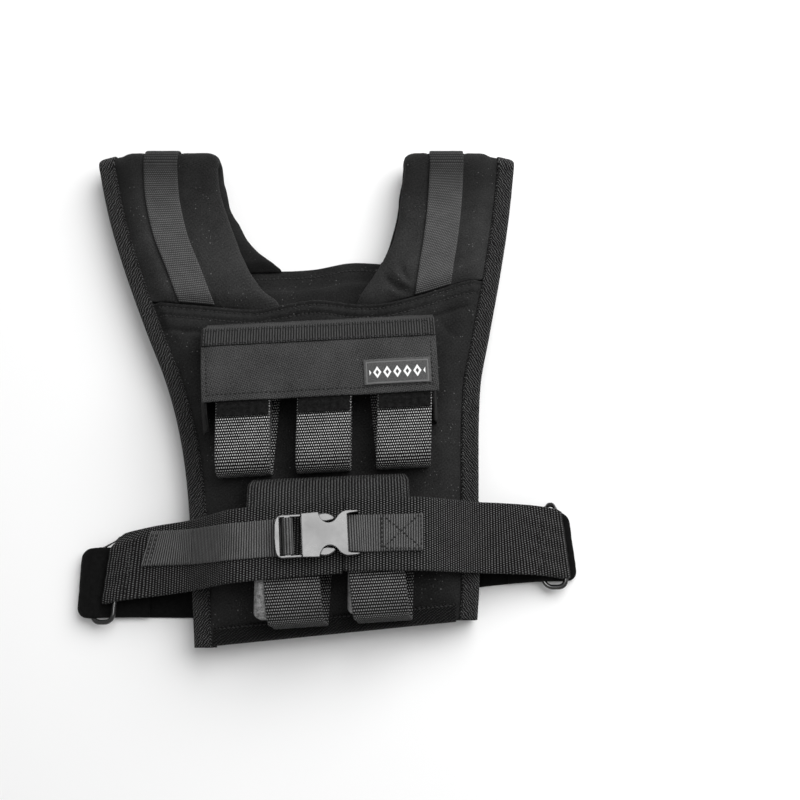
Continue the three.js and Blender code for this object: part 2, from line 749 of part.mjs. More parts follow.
function pocketAt(x, y, parent, turn) {
  const group = new THREE.Group();
  group.position.set(x, y, 0);
  group.rotation.z = THREE.MathUtils.degToRad(turn);
  parent.add(group);
  return group;
}
UPPER_WEIGHTS.forEach((row, i) => {
  const y = UPPER_WEIGHT_END * BODY_LENGTH;
  const pocket = pocketAt(row.column * WEIGHT_PITCH, y, upperPockets, -UPPER_TURN);
  add(`weight_${i + 1}`, castWeight(), castIron, pocket);
  add(`sling_${i + 1}`, sling(row), slingWebbing, pocket);
  add(`sling_patch_${i + 1}`, slingPatch(row), hookFabric, pocket);
});
LOWER_WEIGHTS.forEach((row, i) => {
  const pocket = pocketAt(row.x * SHOULDER_SPAN, row.end * BODY_LENGTH, vest, 0);
  add(`weight_${i + 4}`, castWeight(), castIron, pocket);
  add(`sling_${i + 4}`, sling(row), slingWebbing, pocket);
});

// Upper flap: rises from the panel behind the weights, lies over their fronts and ends over the slings.
// forward runs down from the sewn edge as a share of FLAP_DEPTH, height up from the panel to the top.
const FLAP_START = 0.142;
const FLAP_SECTION = [
  { forward: 0, height: 0 },
  { forward: 0.1, height: 0 },
  { forward: 0.13, height: 0.22 },
  { forward: 0.16, height: 0.5 },
  { forward: 0.21, height: 0.66 },
  { forward: 0.31, height: 0.79 },
  { forward: 0.43, height: 0.91 },
  { forward: 0.54, height: 0.975 },
  { forward: 0.68, height: 1 },
  { forward: 0.84, height: 1 },
  { forward: 1, height: 1 },
];
const flapFloor = frontTop + CLEARANCE + CLOTH_WALL / 2;
const flapMid = flapTop - CLOTH_WALL / 2;
const flapPath = FLAP_SECTION.map(({ forward, height }) => (
  [BODY_LENGTH * FLAP_START - forward * FLAP_DEPTH, lerp(flapFloor, flapMid, height)]));
// The path runs toward the hem, so a move to its left is a move up
const onFlap = (rise) => offsetPath(flapPath, -rise);

function flapCover() {
  return strip(flapPath, CLOTH_WALL, ([y, z], side) => [side * FLAP_WIDTH / 2, y, z], [-1, 0, 1]);
}

// Strip sewn on the flap between two places along it
function onFlapStrip(from, to, left, right) {
  const path = clipPath(onFlap((CLOTH_WALL + TRIM_WALL) / 2 + SEW_GAP), from, to);
  return strip(path, TRIM_WALL, ([y, z], side) => [side < 0 ? left : right, y, z]);
}
const tapeStart = BODY_LENGTH * FLAP_START - FLAP_DEPTH * 0.2;
const labelEdge = FLAP_WIDTH / 2 - 5;
const labelStart = BODY_LENGTH * FLAP_START - FLAP_DEPTH * 0.64;
add('flap_upper', flapCover(), cloth, upperPockets);
add('flap_tape', onFlapStrip(
  tapeStart, tapeStart - FLAP_TAPE_WIDTH, -FLAP_WIDTH / 2, FLAP_WIDTH / 2), tape, upperPockets);
add('label_patch', onFlapStrip(
  labelStart, labelStart - LABEL_DEPTH, labelEdge - LABEL_WIDTH, labelEdge), labelCloth, upperPockets);

// Cloth side of the upper pockets, from the panel up to the underside of the flap
const POCKET_SIDE_LEAN = 5;
const POCKET_SIDE_ROWS = [
  { forward: 0.19, height: 0.4 },
  { forward: 0.31, height: 0.66 },
  { forward: 0.54, height: 0.88 },
  { forward: 0.84, height: 0.92 },
  { forward: 1, height: 0.9 },
];
function pocketSide(side) {
  const start = BODY_LENGTH * FLAP_START;
  const rows = [
    ...POCKET_SIDE_ROWS.map(({ forward, height }) => ({ y: start - forward * FLAP_DEPTH, height })),
    { y: start - FLAP_DEPTH - POCKET_SIDE_REACH * 0.5, height: 0.8 },
    { y: start - FLAP_DEPTH - POCKET_SIDE_REACH, height: 0.52 },
  ];
  const low = frontTop + CLEARANCE;
  return slab([0, 0.55, 1], rows, (share, { y, height }) => {
    const foot = side * (FLAP_WIDTH / 2 + CLOTH_WALL);
    const x = foot - side * POCKET_SIDE_LEAN * share * share;
    const z = low + share * height * (flapMid - low);
    return [[x, y, z], [x + side * CLOTH_WALL, y, z]];
  });
}
add('pocket_side_left', pocketSide(-1), cloth, upperPockets);
add('pocket_side_right', pocketSide(1), cloth, upperPockets);

// Lower flap: wide webbing laid across, sewn to the panel along its upper edge
const LOWER_FLAP_START = -0.183;
const LOWER_FLAP_X = 0.002;
const LOWER_FLAP_TURN = 2.5;
const LOWER_FLAP_SECTION = [
  { forward: 0, height: 0 },
  { forward: 0.02, height: 0.28 },
  { forward: 0.08, height: 0.56 },
  { forward: 0.22, height: 0.78 },
  { forward: 0.42, height: 0.93 },
  { forward: 0.62, height: 1 },
  { forward: 0.84, height: 1 },
];
const lowerFlapFloor = frontTop + 2 * CLEARANCE + BELT_WALL / 2;
const lowerFlap = new THREE.Group();
lowerFlap.position.set(LOWER_FLAP_X * SHOULDER_SPAN, LOWER_FLAP_START * BODY_LENGTH, 0);
lowerFlap.rotation.z = THREE.MathUtils.degToRad(LOWER_FLAP_TURN);
vest.add(lowerFlap);
const lowerFlapPath = LOWER_FLAP_SECTION.map(({ forward, height }) => (
  [-forward * WEBBING_WIDE, lerp(lowerFlapFloor, lowerFlapTop - BELT_WALL / 2, height)]));
add('flap_lower', strip(lowerFlapPath, BELT_WALL, ([y, z], side) => [side * LOWER_FLAP_WIDTH / 2, y, z]),
  webbing, lowerFlap);

// Belt ends, one row for each side: where the rings hang and how the ends lean
const RINGS = {
  left: { side: -1, held: -0.422, freeSide: -1, freeDrop: 3, y: -0.372, lean: 0.17, tip: 0.5, tipLean: 0.15 },
  right: { side: 1, held: 0.465, freeSide: -1, freeDrop: 4, y: -0.306, lean: -0.11, tip: 0.4925, tipLean: 1 },
};
const wireRadius = RING_WIRE / 2;
const ringLength = GATHERED_WIDTH + 2 * RING_CORNER + 3;

// Lean of the pieces round a ring, faded out toward the body
function leanAt(ring, x, y) {
  const reach = BELT_SPAN * 0.07;
  const fade = clamp((Math.abs(x) - BELT_SPAN * 0.33) / reach, 0, 1);
  return ring.lean * (y - ring.y * BODY_LENGTH) * fade;
}
const leaned = (ring, [x, y, z]) => [x + leanAt(ring, x, y), y, z];

function ringWire(ring) {
  const held = ring.held * BELT_SPAN;
  const free = held + ring.freeSide * RING_WIDTH;
  const middle = (held + free) / 2;
  const path = roundedRectangle(RING_WIDTH / 2, ringLength / 2, RING_CORNER, 3);
  const sections = path.map(([x, y], i) => {
    const before = path[(i + path.length - 1) % path.length];
    const after = path[(i + 1) % path.length];
    const along = new THREE.Vector2(after[0] - before[0], after[1] - before[1]).normalize();
    return Array.from({ length: 6 }, (_, k) => {
      const angle = Math.PI * (k + 0.5) / 3;
      const out = wireRadius * Math.cos(angle);
      const px = middle + x + along.y * out;
      const py = ring.y * BODY_LENGTH + y - along.x * out;
      const drop = ring.freeDrop * clamp((middle + x - held) / (free - held), 0, 1);
      return leaned(ring, [px, py, RING_HEIGHT - drop + wireRadius * Math.sin(angle)]);
    });
  });
  return stack(sections, true);
}

// Width of a belt or side strap, gathered where it passes the ring
function gathered(ring, x) {
  const near = clamp((Math.abs(x) - BELT_SPAN * 0.385) / (BELT_SPAN * 0.03), 0, 1);
  return lerp(WEBBING_WIDE, GATHERED_WIDTH, near);
}

// Centre line of the belt over the front, by place along it
const BELT_CENTRE_LEFT = [
  { across: -0.44, along: -0.371 },
  { across: -0.4, along: -0.355 },
  { across: -0.28, along: -0.332 },
  { across: -0.158, along: -0.315 },
  { across: 0.035, along: -0.299 },
];
const BELT_CENTRE_RIGHT = [
  { across: 0.035, along: -0.295 },
  { across: 0.3, along: -0.2945 },
  { across: 0.41, along: -0.297 },
  { across: 0.48, along: -0.305 },
];
const BELT_JOIN = 0.035;
const BELT_TAIL = 0.047;
const foldOfBelt = wireRadius + CLEARANCE + BELT_WALL / 2;

// Belt path in X and Z: tail, fold round the ring, then up over the edge of the panel and the weights
function beltPath(ring, edgeX, restX) {
  const out = ring.side;
  const held = ring.held * BELT_SPAN;
  const top = RING_HEIGHT + foldOfBelt;
  const edgePoint = [edgeX, bindingTop + SEW_GAP + BELT_WALL];
  const rest = [restX, beltMid];
  const slope = (edgePoint[1] - top) / Math.abs(edgePoint[0] - held);
  const tailGap = BELT_WALL + CLEARANCE;
  const tailEnd = held - out * BELT_TAIL * BELT_SPAN;
  const tailZ = (x) => top + slope * Math.abs(held - x) - tailGap * Math.hypot(1, slope);
  const meet = held - out * foldOfBelt * 2.9;
  const fold = arc(held, RING_HEIGHT, foldOfBelt, -130, 90, 7).map(([x, z]) => (
    [held + out * (x - held), z]));
  const over = roundCorners([[held, top], edgePoint, rest, [BELT_JOIN * BELT_SPAN, beltMid]], BELT_BEND);
  return [
    [tailEnd, tailZ(tailEnd)],
    [meet, tailZ(meet)],
    ...fold,
    ...over.slice(1),
  ];
}

function belt(ring, path, centre, join) {
  const along = curve(centre, 'across', 'along');
  const sideUp = ring.side < 0 ? 1 : -1;
  return strip(path, BELT_WALL * sideUp, ([x, z], side, i) => {
    const at = path[i][0];
    const y = BODY_LENGTH * along(at / BELT_SPAN) + side * gathered(ring, at) / 2;
    const end = i === path.length - 1 ? join : 0;
    return leaned(ring, [x + end, y, z]);
  });
}

const beltEdgeLeft = armholeLeft(-0.33 * BODY_LENGTH);
const beltEdgeRight = armholeRight(-0.3 * BODY_LENGTH);
const beltRest = LOWER_FLAP_WIDTH * 0.585;
const leftBeltPath = beltPath(RINGS.left, beltEdgeLeft, LOWER_FLAP_X * SHOULDER_SPAN - beltRest);
const rightBeltPath = beltPath(RINGS.right, beltEdgeRight, LOWER_FLAP_X * SHOULDER_SPAN + beltRest);
add('belt_left', belt(RINGS.left, leftBeltPath, BELT_CENTRE_LEFT, -CLEARANCE), webbing);
add('belt_right', belt(RINGS.right, rightBeltPath, BELT_CENTRE_RIGHT, CLEARANCE), webbing);
add('ring_left', ringWire(RINGS.left), blackWire);
add('ring_right', ringWire(RINGS.right), blackWire);

// Side straps: from under the edge of the back panel out along the floor, folded back and through the ring
const SIDE_STRAP_END = 0.357;
const sideStrapLow = SEW_GAP + HOOK_STRAP_WALL / 2;
const sideStrapReturn = sideStrapLow + HOOK_STRAP_WALL + 4 * CLEARANCE;
function sideStrapPath(ring, start) {
  const out = ring.side;
  const free = ring.held * BELT_SPAN + ring.freeSide * RING_WIDTH;
  const freeZ = RING_HEIGHT - ring.freeDrop;
  const over = wireRadius + 1.5 * CLEARANCE + HOOK_STRAP_WALL / 2;
  const direct = ring.side === ring.freeSide;
  const arriving = direct ? freeZ + over : sideStrapReturn;
  const radius = (arriving - sideStrapLow) / 2;
  const turnX = out * (ring.tip * BELT_SPAN - radius - HOOK_STRAP_WALL / 2);
  const outward = (from, to, centreX, centreZ, reach, steps) => (
    arc(0, centreZ, reach, from, to, steps).map(([x, z]) => [centreX + out * x, z]));
  const before = direct ? [] : [[free + out * (over + RING_LEAD), sideStrapReturn + CLEARANCE]];
  const end = Math.min(Math.abs(free) - over - SIDE_STRAP_SET_BACK, SIDE_STRAP_END * BELT_SPAN);
  return [
    [start, sideStrapLow],
    ...outward(-90, 90, turnX, sideStrapLow + radius, radius, 6),
    ...before,
    ...outward(direct ? 75 : 35, 150, free, freeZ, over, 5),
    [free - out * (over + RING_LEAD), sideStrapReturn + 2 * CLEARANCE],
    [free - out * (over + 2 * RING_LEAD), sideStrapReturn],
    [out * end, sideStrapReturn],
  ];
}

const SIDE_STRAP_CENTRE_LEFT = [
  { across: -0.5, along: -0.372 },
  { across: -0.4, along: -0.372 },
  { across: -0.26, along: -0.375 },
];
const SIDE_STRAP_CENTRE_RIGHT = [
  { across: 0.26, along: -0.322 },
  { across: 0.4, along: -0.308 },
  { across: 0.5, along: -0.306 },
];
function sideStrap(ring, start, centre) {
  const along = curve(centre, 'across', 'along');
  const path = sideStrapPath(ring, start);
  return strip(path, HOOK_STRAP_WALL, ([x, z], side, i) => {
    const at = path[i][0];
    const y = BODY_LENGTH * along(at / BELT_SPAN) + side * gathered(ring, at) / 2;
    const free = Math.abs(ring.held * BELT_SPAN + ring.freeSide * RING_WIDTH);
    const toTip = clamp((Math.abs(at) - free) / (ring.tip * BELT_SPAN - free), 0, 1);
    return [x + leanAt(ring, x, y) * lerp(1, ring.tipLean, toTip), y, z];
  });
}
const sideStrapStartLeft = panelLeft(-0.37 * BODY_LENGTH) + FLANGE;
const sideStrapStartRight = panelRight(-0.32 * BODY_LENGTH) - FLANGE;
add('side_strap_left', sideStrap(RINGS.left, sideStrapStartLeft, SIDE_STRAP_CENTRE_LEFT), hookFabric);
add('side_strap_right', sideStrap(RINGS.right, sideStrapStartRight, SIDE_STRAP_CENTRE_RIGHT), hookFabric);

// Buckle, in its own frame: X along the belt from the frame end to the horn tips, Z from its middle height
const BUCKLE_X = -0.014;
const BUCKLE_Y = -0.2987;
const BUCKLE_TURN = 3.3;
const buckleMid = beltTop + SEW_GAP + BUCKLE_HEIGHT / 2;
const buckle = new THREE.Group();
buckle.position.set(BUCKLE_X * BELT_SPAN, BUCKLE_Y * BODY_LENGTH, buckleMid);
buckle.rotation.z = THREE.MathUtils.degToRad(BUCKLE_TURN);
vest.add(buckle);
const frameEnd = -BUCKLE_LENGTH / 2;
const splitX = frameEnd + BUCKLE_LENGTH * 0.325;
const mouthX = frameEnd + BUCKLE_LENGTH * 0.87;
const halfBuckle = BUCKLE_WIDTH / 2;
const socketWall = 1.6;

function toManifold(geometry) {
  geometry.deleteAttribute('normal');
  geometry.deleteAttribute('uv');
  const merged = mergeVertices(geometry, 1e-4);
  return new wasm.Manifold(new wasm.Mesh({
    numProp: 3,
    vertProperties: new Float32Array(merged.attributes.position.array),
    triVerts: new Uint32Array(merged.index.array),
  }));
}
function fromManifold(manifold) {
  const mesh = manifold.getMesh();
  const geometry = new THREE.BufferGeometry();
  geometry.setAttribute('position', new THREE.BufferAttribute(new Float32Array(mesh.vertProperties), 3));
  geometry.setIndex(Array.from(mesh.triVerts));
  geometry.computeVertexNormals();
  return geometry;
}
const plate = (shape, height) => new THREE.ExtrudeGeometry(
  shape, { depth: height, bevelEnabled: false, curveSegments: 3 }).translate(0, 0, -height / 2);
const block = (x0, x1, halfWidth, height) => new THREE.BoxGeometry(
  x1 - x0, 2 * halfWidth, height).translate((x0 + x1) / 2, 0, 0);

// Female half: a flat sleeve with a waist that opens at the prong tips and two swept horns at the strap
function femaleShape() {
  const at = (share) => frameEnd + BUCKLE_LENGTH * share;
  const shape = new THREE.Shape();
  shape.moveTo(splitX + CLEARANCE, -halfBuckle * 0.97);
  shape.lineTo(at(0.53), -halfBuckle);
  shape.bezierCurveTo(
    at(0.56), -halfBuckle * 0.68, at(0.7), -halfBuckle * 0.62, at(0.76), -halfBuckle * 0.84);
  shape.quadraticCurveTo(at(0.82), -halfBuckle * 1.02, at(0.88), -halfBuckle);
  shape.lineTo(at(1), -halfBuckle * 0.97);
  shape.lineTo(at(1), -halfBuckle * 0.9);
  shape.lineTo(at(0.9), -halfBuckle * 0.88);
  shape.lineTo(mouthX, -halfBuckle * 0.84);
  shape.lineTo(mouthX, halfBuckle * 0.84);
  shape.lineTo(at(0.9), halfBuckle * 0.88);
  shape.lineTo(at(1), halfBuckle * 0.9);
  shape.lineTo(at(1), halfBuckle * 0.97);
  shape.lineTo(at(0.88), halfBuckle);
  shape.quadraticCurveTo(at(0.82), halfBuckle * 1.02, at(0.76), halfBuckle * 0.84);
  shape.bezierCurveTo(at(0.7), halfBuckle * 0.62, at(0.56), halfBuckle * 0.68, at(0.53), halfBuckle);
  shape.lineTo(splitX + CLEARANCE, halfBuckle * 0.97);
  shape.closePath();
  return shape;
}
const socketHalf = halfBuckle - socketWall;
const socketEnd = frameEnd + BUCKLE_LENGTH * 0.78;
const strapPocket = mouthX - 4;
const strapPocketHalf = WEBBING_NARROW / 2 + 3 * CLEARANCE;
const femaleBody = toManifold(plate(femaleShape(), BUCKLE_HEIGHT))
  .subtract(toManifold(block(splitX - 1, socketEnd, socketHalf, BUCKLE_FRAME_HEIGHT + 2 * CLEARANCE)))
  .subtract(toManifold(block(strapPocket, mouthX + 1, strapPocketHalf, NARROW_WALL + 4 * CLEARANCE)));
add('buckle_female', fromManifold(femaleBody), mouldedPlastic, buckle);

// Male half: a rounded frame with two slots and a bar, and two prongs whose tips show in the waist
const SLOT_NEAR = [0.058, 0.118];
const SLOT_FAR = [0.2, 0.285];
function maleShape() {
  const at = (share) => frameEnd + BUCKLE_LENGTH * share;
  const outer = halfBuckle * 0.97;
  const arm = socketHalf - CLEARANCE;
  const inner = arm * 0.7;
  const shape = new THREE.Shape();
  shape.moveTo(frameEnd, -outer * 0.55);
  shape.quadraticCurveTo(frameEnd, -outer, at(0.11), -outer);
  shape.lineTo(splitX, -outer);
  shape.lineTo(splitX, -arm);
  shape.lineTo(at(0.6), -arm);
  shape.quadraticCurveTo(at(0.64), -halfBuckle * 1.06, at(0.72), -arm * 0.95);
  shape.lineTo(at(0.72), -inner * 0.95);
  shape.lineTo(splitX + 2, -inner);
  shape.lineTo(splitX + 2, inner);
  shape.lineTo(at(0.72), inner * 0.95);
  shape.lineTo(at(0.72), arm * 0.95);
  shape.quadraticCurveTo(at(0.64), halfBuckle * 1.06, at(0.6), arm);
  shape.lineTo(splitX, arm);
  shape.lineTo(splitX, outer);
  shape.lineTo(at(0.11), outer);
  shape.quadraticCurveTo(frameEnd, outer, frameEnd, outer * 0.55);
  shape.closePath();
  return shape;
}
const slotHalf = WEBBING_NARROW / 2 + 2 * CLEARANCE;
const slotBlock = ([near, far]) => toManifold(block(
  frameEnd + BUCKLE_LENGTH * near, frameEnd + BUCKLE_LENGTH * far, slotHalf, 2 * BUCKLE_FRAME_HEIGHT));
const maleBody = toManifold(plate(maleShape(), BUCKLE_FRAME_HEIGHT))
  .subtract(slotBlock(SLOT_NEAR))
  .subtract(slotBlock(SLOT_FAR));
add('buckle_male', fromManifold(maleBody), mouldedPlastic, buckle);

// Narrow straps on the belt: the left one runs under the frame, up through its slots and over its bar
const LEFT_STRAP_START = -0.36;
const RIGHT_STRAP_END = 0.185;
const STRAP_TURN_REACH = 20;
const strapOnBelt = BELT_WALL / 2 + SEW_GAP + NARROW_WALL / 2;
const STRAP_CENTRE_LEFT = [
  { across: -0.36, along: -0.3145 },
  { across: -0.2, along: -0.311 },
  { across: -0.095, along: -0.3034 },
  { across: -0.05, along: -0.3008 },
];
const STRAP_CENTRE_RIGHT = [
  { across: 0.02, along: -0.2957 },
  { across: 0.07, along: -0.295 },
  { across: 0.19, along: -0.292 },
];
const buckleX = BUCKLE_X * BELT_SPAN;
const slotX = (share) => buckleX + frameEnd + BUCKLE_LENGTH * share;
const frameLow = buckleMid - BUCKLE_FRAME_HEIGHT / 2;
const frameHigh = buckleMid + BUCKLE_FRAME_HEIGHT / 2;
const nearSlot = slotX((SLOT_NEAR[0] + SLOT_NEAR[1]) / 2);
const farSlot = slotX(SLOT_FAR[0]) + NARROW_WALL / 2 + 3 * CLEARANCE;
const overBar = frameHigh + SEW_GAP + NARROW_WALL;
const leftStrapBase = clipPath(
  offsetPath(leftBeltPath.slice(9), strapOnBelt), LEFT_STRAP_START * BELT_SPAN, slotX(0.02));
const leftStrapPath = [
  ...leftStrapBase,
  [nearSlot - NARROW_WALL, frameLow - NARROW_WALL * 0.7],
  [nearSlot, frameLow + SEW_GAP],
  [nearSlot, frameHigh],
  [nearSlot + NARROW_WALL * 0.65, overBar - CLEARANCE],
  [slotX(SLOT_NEAR[1]) + NARROW_WALL / 2, overBar],
  [slotX(SLOT_FAR[0]) - NARROW_WALL / 2, overBar],
  [farSlot - NARROW_WALL * 0.65, overBar - CLEARANCE],
  [farSlot, frameHigh],
  [farSlot, frameLow + SEW_GAP],
];
const strapLevel = beltMid + strapOnBelt;
const rightStrapPath = roundCorners([
  [RIGHT_STRAP_END * BELT_SPAN, strapLevel],
  [buckleX + mouthX + 11, strapLevel],
  [buckleX + mouthX + 4.5, buckleMid],
  [buckleX + strapPocket + 2 * CLEARANCE, buckleMid],
], 3);
function narrowStrap(path, centre) {
  const along = curve(centre, 'across', 'along');
  return strip(path, NARROW_WALL, ([x, z], side, i) => {
    const across = side * WEBBING_NARROW / 2;
    const y = BODY_LENGTH * along(path[i][0] / BELT_SPAN) + across;
    const away = (Math.abs(path[i][0] - buckleX) - BUCKLE_LENGTH / 2) / STRAP_TURN_REACH;
    const turn = Math.tan(THREE.MathUtils.degToRad(BUCKLE_TURN)) * (1 - clamp(away, 0, 1));
    return [x - across * turn, y, z];
  });
}
add('buckle_strap_left', narrowStrap(leftStrapPath, STRAP_CENTRE_LEFT), shoulderWebbing);
add('buckle_strap_right', narrowStrap(rightStrapPath, STRAP_CENTRE_RIGHT), shoulderWebbing);

// The origin is on the floor under the middle of the whole vest
const reach = new THREE.Box3().setFromObject(vest);
vest.position.set(-(reach.min.x + reach.max.x) / 2, -(reach.min.y + reach.max.y) / 2, 0);

export default vest;
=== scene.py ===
"""Weighted vest, lying on its back and buckled up. Lengths are in millimetres until a mesh is made."""

import math

import bmesh
import bpy
import numpy as np
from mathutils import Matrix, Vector
from mathutils.bvhtree import BVHTree


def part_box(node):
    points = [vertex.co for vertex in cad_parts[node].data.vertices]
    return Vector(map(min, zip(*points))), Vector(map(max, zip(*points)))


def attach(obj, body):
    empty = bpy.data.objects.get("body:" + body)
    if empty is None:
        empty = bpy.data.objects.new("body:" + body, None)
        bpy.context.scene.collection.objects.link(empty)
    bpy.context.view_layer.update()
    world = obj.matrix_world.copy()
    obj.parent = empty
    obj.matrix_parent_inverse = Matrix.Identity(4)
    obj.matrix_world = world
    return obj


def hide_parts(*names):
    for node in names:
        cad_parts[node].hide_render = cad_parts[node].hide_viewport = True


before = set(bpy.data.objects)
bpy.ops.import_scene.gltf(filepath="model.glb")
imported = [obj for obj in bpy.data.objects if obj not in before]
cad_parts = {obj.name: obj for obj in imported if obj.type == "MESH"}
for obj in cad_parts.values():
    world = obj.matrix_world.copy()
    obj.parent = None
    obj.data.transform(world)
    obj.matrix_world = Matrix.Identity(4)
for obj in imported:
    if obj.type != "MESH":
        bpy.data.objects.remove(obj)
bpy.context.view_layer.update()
MM = 0.001

# Driving dimensions, the same as the solids have
BODY_LENGTH = 374
SHOULDER_SPAN = 320
BELT_SPAN = 359
BACK_PAD = 10.5
FRONT_PAD = 9.9
TORSO_GAP = 10.3
EDGE_ROLL = 28
FLANGE_WALL = 3
BACK_FLANGE_FLOOR = 4.2
TUCK = 17
BACK_TUCK = 12
TUCK_HEIGHT = 5.2
LIP_WALL = 2.6
BACK_LIP_TOP = 4.6
STRAP_PAD = 12.2
STRAP_BACK_PAD = 10.8
STRAP_GAP = 7.8
WEBBING_WIDE = 50
WEBBING_MEDIUM = 38
WEBBING_NARROW = 25
BELT_WALL = 1.8
WEBBING_WALL = 1.6
NARROW_WALL = 1.4
HOOK_STRAP_WALL = 2
BINDING_WIDTH = 11
BINDING_WALL = 1.1
CLOTH_WALL = 1.6
TRIM_WALL = 1
WEIGHT_WIDTH = 36
WEIGHT_LENGTH = 70
WEIGHT_HEIGHT = 22
WEIGHT_EDGE = 3
WEIGHT_PITCH = 57
FLAP_SIDE_ROOM = 8
FLAP_WIDTH = 2 * WEIGHT_PITCH + WEIGHT_WIDTH + 2 * FLAP_SIDE_ROOM
FLAP_DEPTH = 68
FLAP_TAPE_WIDTH = 14
LABEL_WIDTH = 47
LABEL_DEPTH = 19
POCKET_SIDE_REACH = 18
LOWER_FLAP_WIDTH = 112
RING_WIRE = 3.5
RING_WIDTH = 15.5
RING_CORNER = 6
RING_HEIGHT = 10.5
GATHERED_WIDTH = 44
BUCKLE_LENGTH = 57
BUCKLE_WIDTH = 30
BUCKLE_HEIGHT = 9.6
BUCKLE_FRAME_HEIGHT = 5.6
GAP = 0.3
SEW_GAP = 0.4
EDGE_GAP = 0.6

# Heights above the floor
FLANGE = BINDING_WIDTH + GAP + 0.2
FRONT_FLOOR = BACK_PAD + TORSO_GAP
FRONT_TOP = FRONT_FLOOR + FRONT_PAD
LIP_FLOOR = FRONT_FLOOR + TUCK_HEIGHT + GAP
WEIGHT_FLOOR = FRONT_TOP + WEBBING_WALL + 2 * GAP
WEIGHT_TOP = WEIGHT_FLOOR + WEIGHT_HEIGHT
SLING_TOP = WEIGHT_TOP + GAP + WEBBING_WALL
FLAP_TOP = SLING_TOP + TRIM_WALL + 3 * GAP + CLOTH_WALL
LOWER_FLAP_TOP = SLING_TOP + GAP + BELT_WALL
BELT_MID = LOWER_FLAP_TOP + GAP + BELT_WALL / 2
BELT_TOP = BELT_MID + BELT_WALL / 2
BINDING_TOP = FRONT_FLOOR + FLANGE_WALL + GAP + BINDING_WALL
STRAP_BACK_FLOOR = FRONT_FLOOR - STRAP_GAP
FOLD_RADIUS = STRAP_GAP / 2
FOLD_HEIGHT = FRONT_FLOOR - FOLD_RADIUS
FOLD_Y = BODY_LENGTH / 2 - FOLD_RADIUS - STRAP_PAD - EDGE_GAP - NARROW_WALL
BINDING_OUT = BINDING_WALL + EDGE_GAP

SIDES = ((-1, "left"), (1, "right"))

# Stitched rows: distance above a seam
CHEST_ROWS = (-2.6, -9.2)
COLLAR_ROW = -6

# Outlines as (along, across): shares of BODY_LENGTH and of SHOULDER_SPAN
LEFT_EDGE = [(-0.5, -0.288), (-0.374, -0.3), (-0.233, -0.313), (-0.107, -0.337), (0.002, -0.374),
             (0.111, -0.427), (0.233, -0.483), (0.348, -0.528), (0.476, -0.564)]
RIGHT_EDGE = [(-0.45, 0.328), (-0.377, 0.334), (-0.214, 0.335), (-0.005, 0.3425), (0.101, 0.365),
              (0.222, 0.392), (0.348, 0.416), (0.487, 0.435)]
LEFT_NECK_FRONT = [(0.1, -0.11), (0.167, -0.123), (0.19, -0.157), (0.22, -0.183), (0.262, -0.21),
                   (0.304, -0.23), (0.391, -0.264), (0.437, -0.273), (0.5, -0.284)]
RIGHT_NECK_FRONT = [(0.1, 0.047), (0.174, 0.062), (0.22, 0.096), (0.256, 0.123), (0.283, 0.137),
                    (0.314, 0.147), (0.391, 0.163), (0.5, 0.171)]
LEFT_NECK_BACK = [(0.2, -0.1), (0.253, -0.125), (0.283, -0.169), (0.313, -0.203), (0.348, -0.229),
                  (0.389, -0.254), (0.5, -0.276)]
RIGHT_NECK_BACK = [(0.2, 0.085), (0.265, 0.112), (0.3, 0.132), (0.35, 0.148), (0.42, 0.162), (0.5, 0.168)]
WEBBING_LEFT = [(0.15, -0.302), (0.234, -0.341), (0.3, -0.373), (0.36, -0.392), (0.4, -0.4), (0.5, -0.41)]
WEBBING_RIGHT = [(0.15, 0.228), (0.24, 0.243), (0.3, 0.254), (0.38, 0.264), (0.5, 0.271)]
# Seams as (share across the panel, along)
CHEST_SEAM = [(0, 0.17), (0.16, 0.16), (0.33, 0.15), (0.41, 0.16), (0.5, 0.17), (0.62, 0.161),
              (0.7, 0.164), (0.8, 0.182), (0.92, 0.209), (1, 0.217)]
BACK_SEAM = [(0, 0.249), (0.4, 0.252), (0.5, 0.256), (0.6, 0.27), (0.72, 0.266), (1, 0.262)]
HEM = [(0, -0.498), (1, -0.447)]

# Places of the pieces on the front, the same as the solids have
UPPER_X = -0.017 * SHOULDER_SPAN
UPPER_TURN = math.radians(3)
UPPER_SLINGS = [(-1, 0, 0.8, 6), (0, 0.5, -0.5, 0), (1, 0, -1.5, -8)]
UPPER_WEIGHT_END = -0.167 * BODY_LENGTH
LOWER_SLINGS = [(-0.097, -0.448, 5, 11, 15), (0.1016, -0.4375, -1.5, 5.5, 8)]
FLAP_START = 0.142 * BODY_LENGTH
FLAP_SECTION = [(0, 0), (0.1, 0), (0.13, 0.22), (0.16, 0.5), (0.21, 0.66), (0.31, 0.79), (0.43, 0.91),
                (0.54, 0.975), (0.68, 1), (0.84, 1), (1, 1)]
LOWER_FLAP_AT = (0.002 * SHOULDER_SPAN, -0.183 * BODY_LENGTH)
LOWER_FLAP_TURN = math.radians(2.5)
LOWER_FLAP_SECTION = [(0, 0), (0.02, 0.28), (0.08, 0.56), (0.22, 0.78), (0.42, 0.93), (0.62, 1), (0.84, 1)]
BUCKLE_AT = (-0.014 * BELT_SPAN, -0.2987 * BODY_LENGTH)
BUCKLE_TURN = math.radians(3.3)
BUCKLE_MID = BELT_TOP + SEW_GAP + BUCKLE_HEIGHT / 2

# The solids' origin is under the middle of the whole vest: a weight shows how far that moved them
low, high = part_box("weight_4")
SHIFT = np.array([
    (low.x + high.x) / 2 / MM - LOWER_SLINGS[0][0] * SHOULDER_SPAN,
    low.y / MM - LOWER_SLINGS[0][1] * BODY_LENGTH,
    0,
])


def lerp(a, b, t):
    return a + (b - a) * t


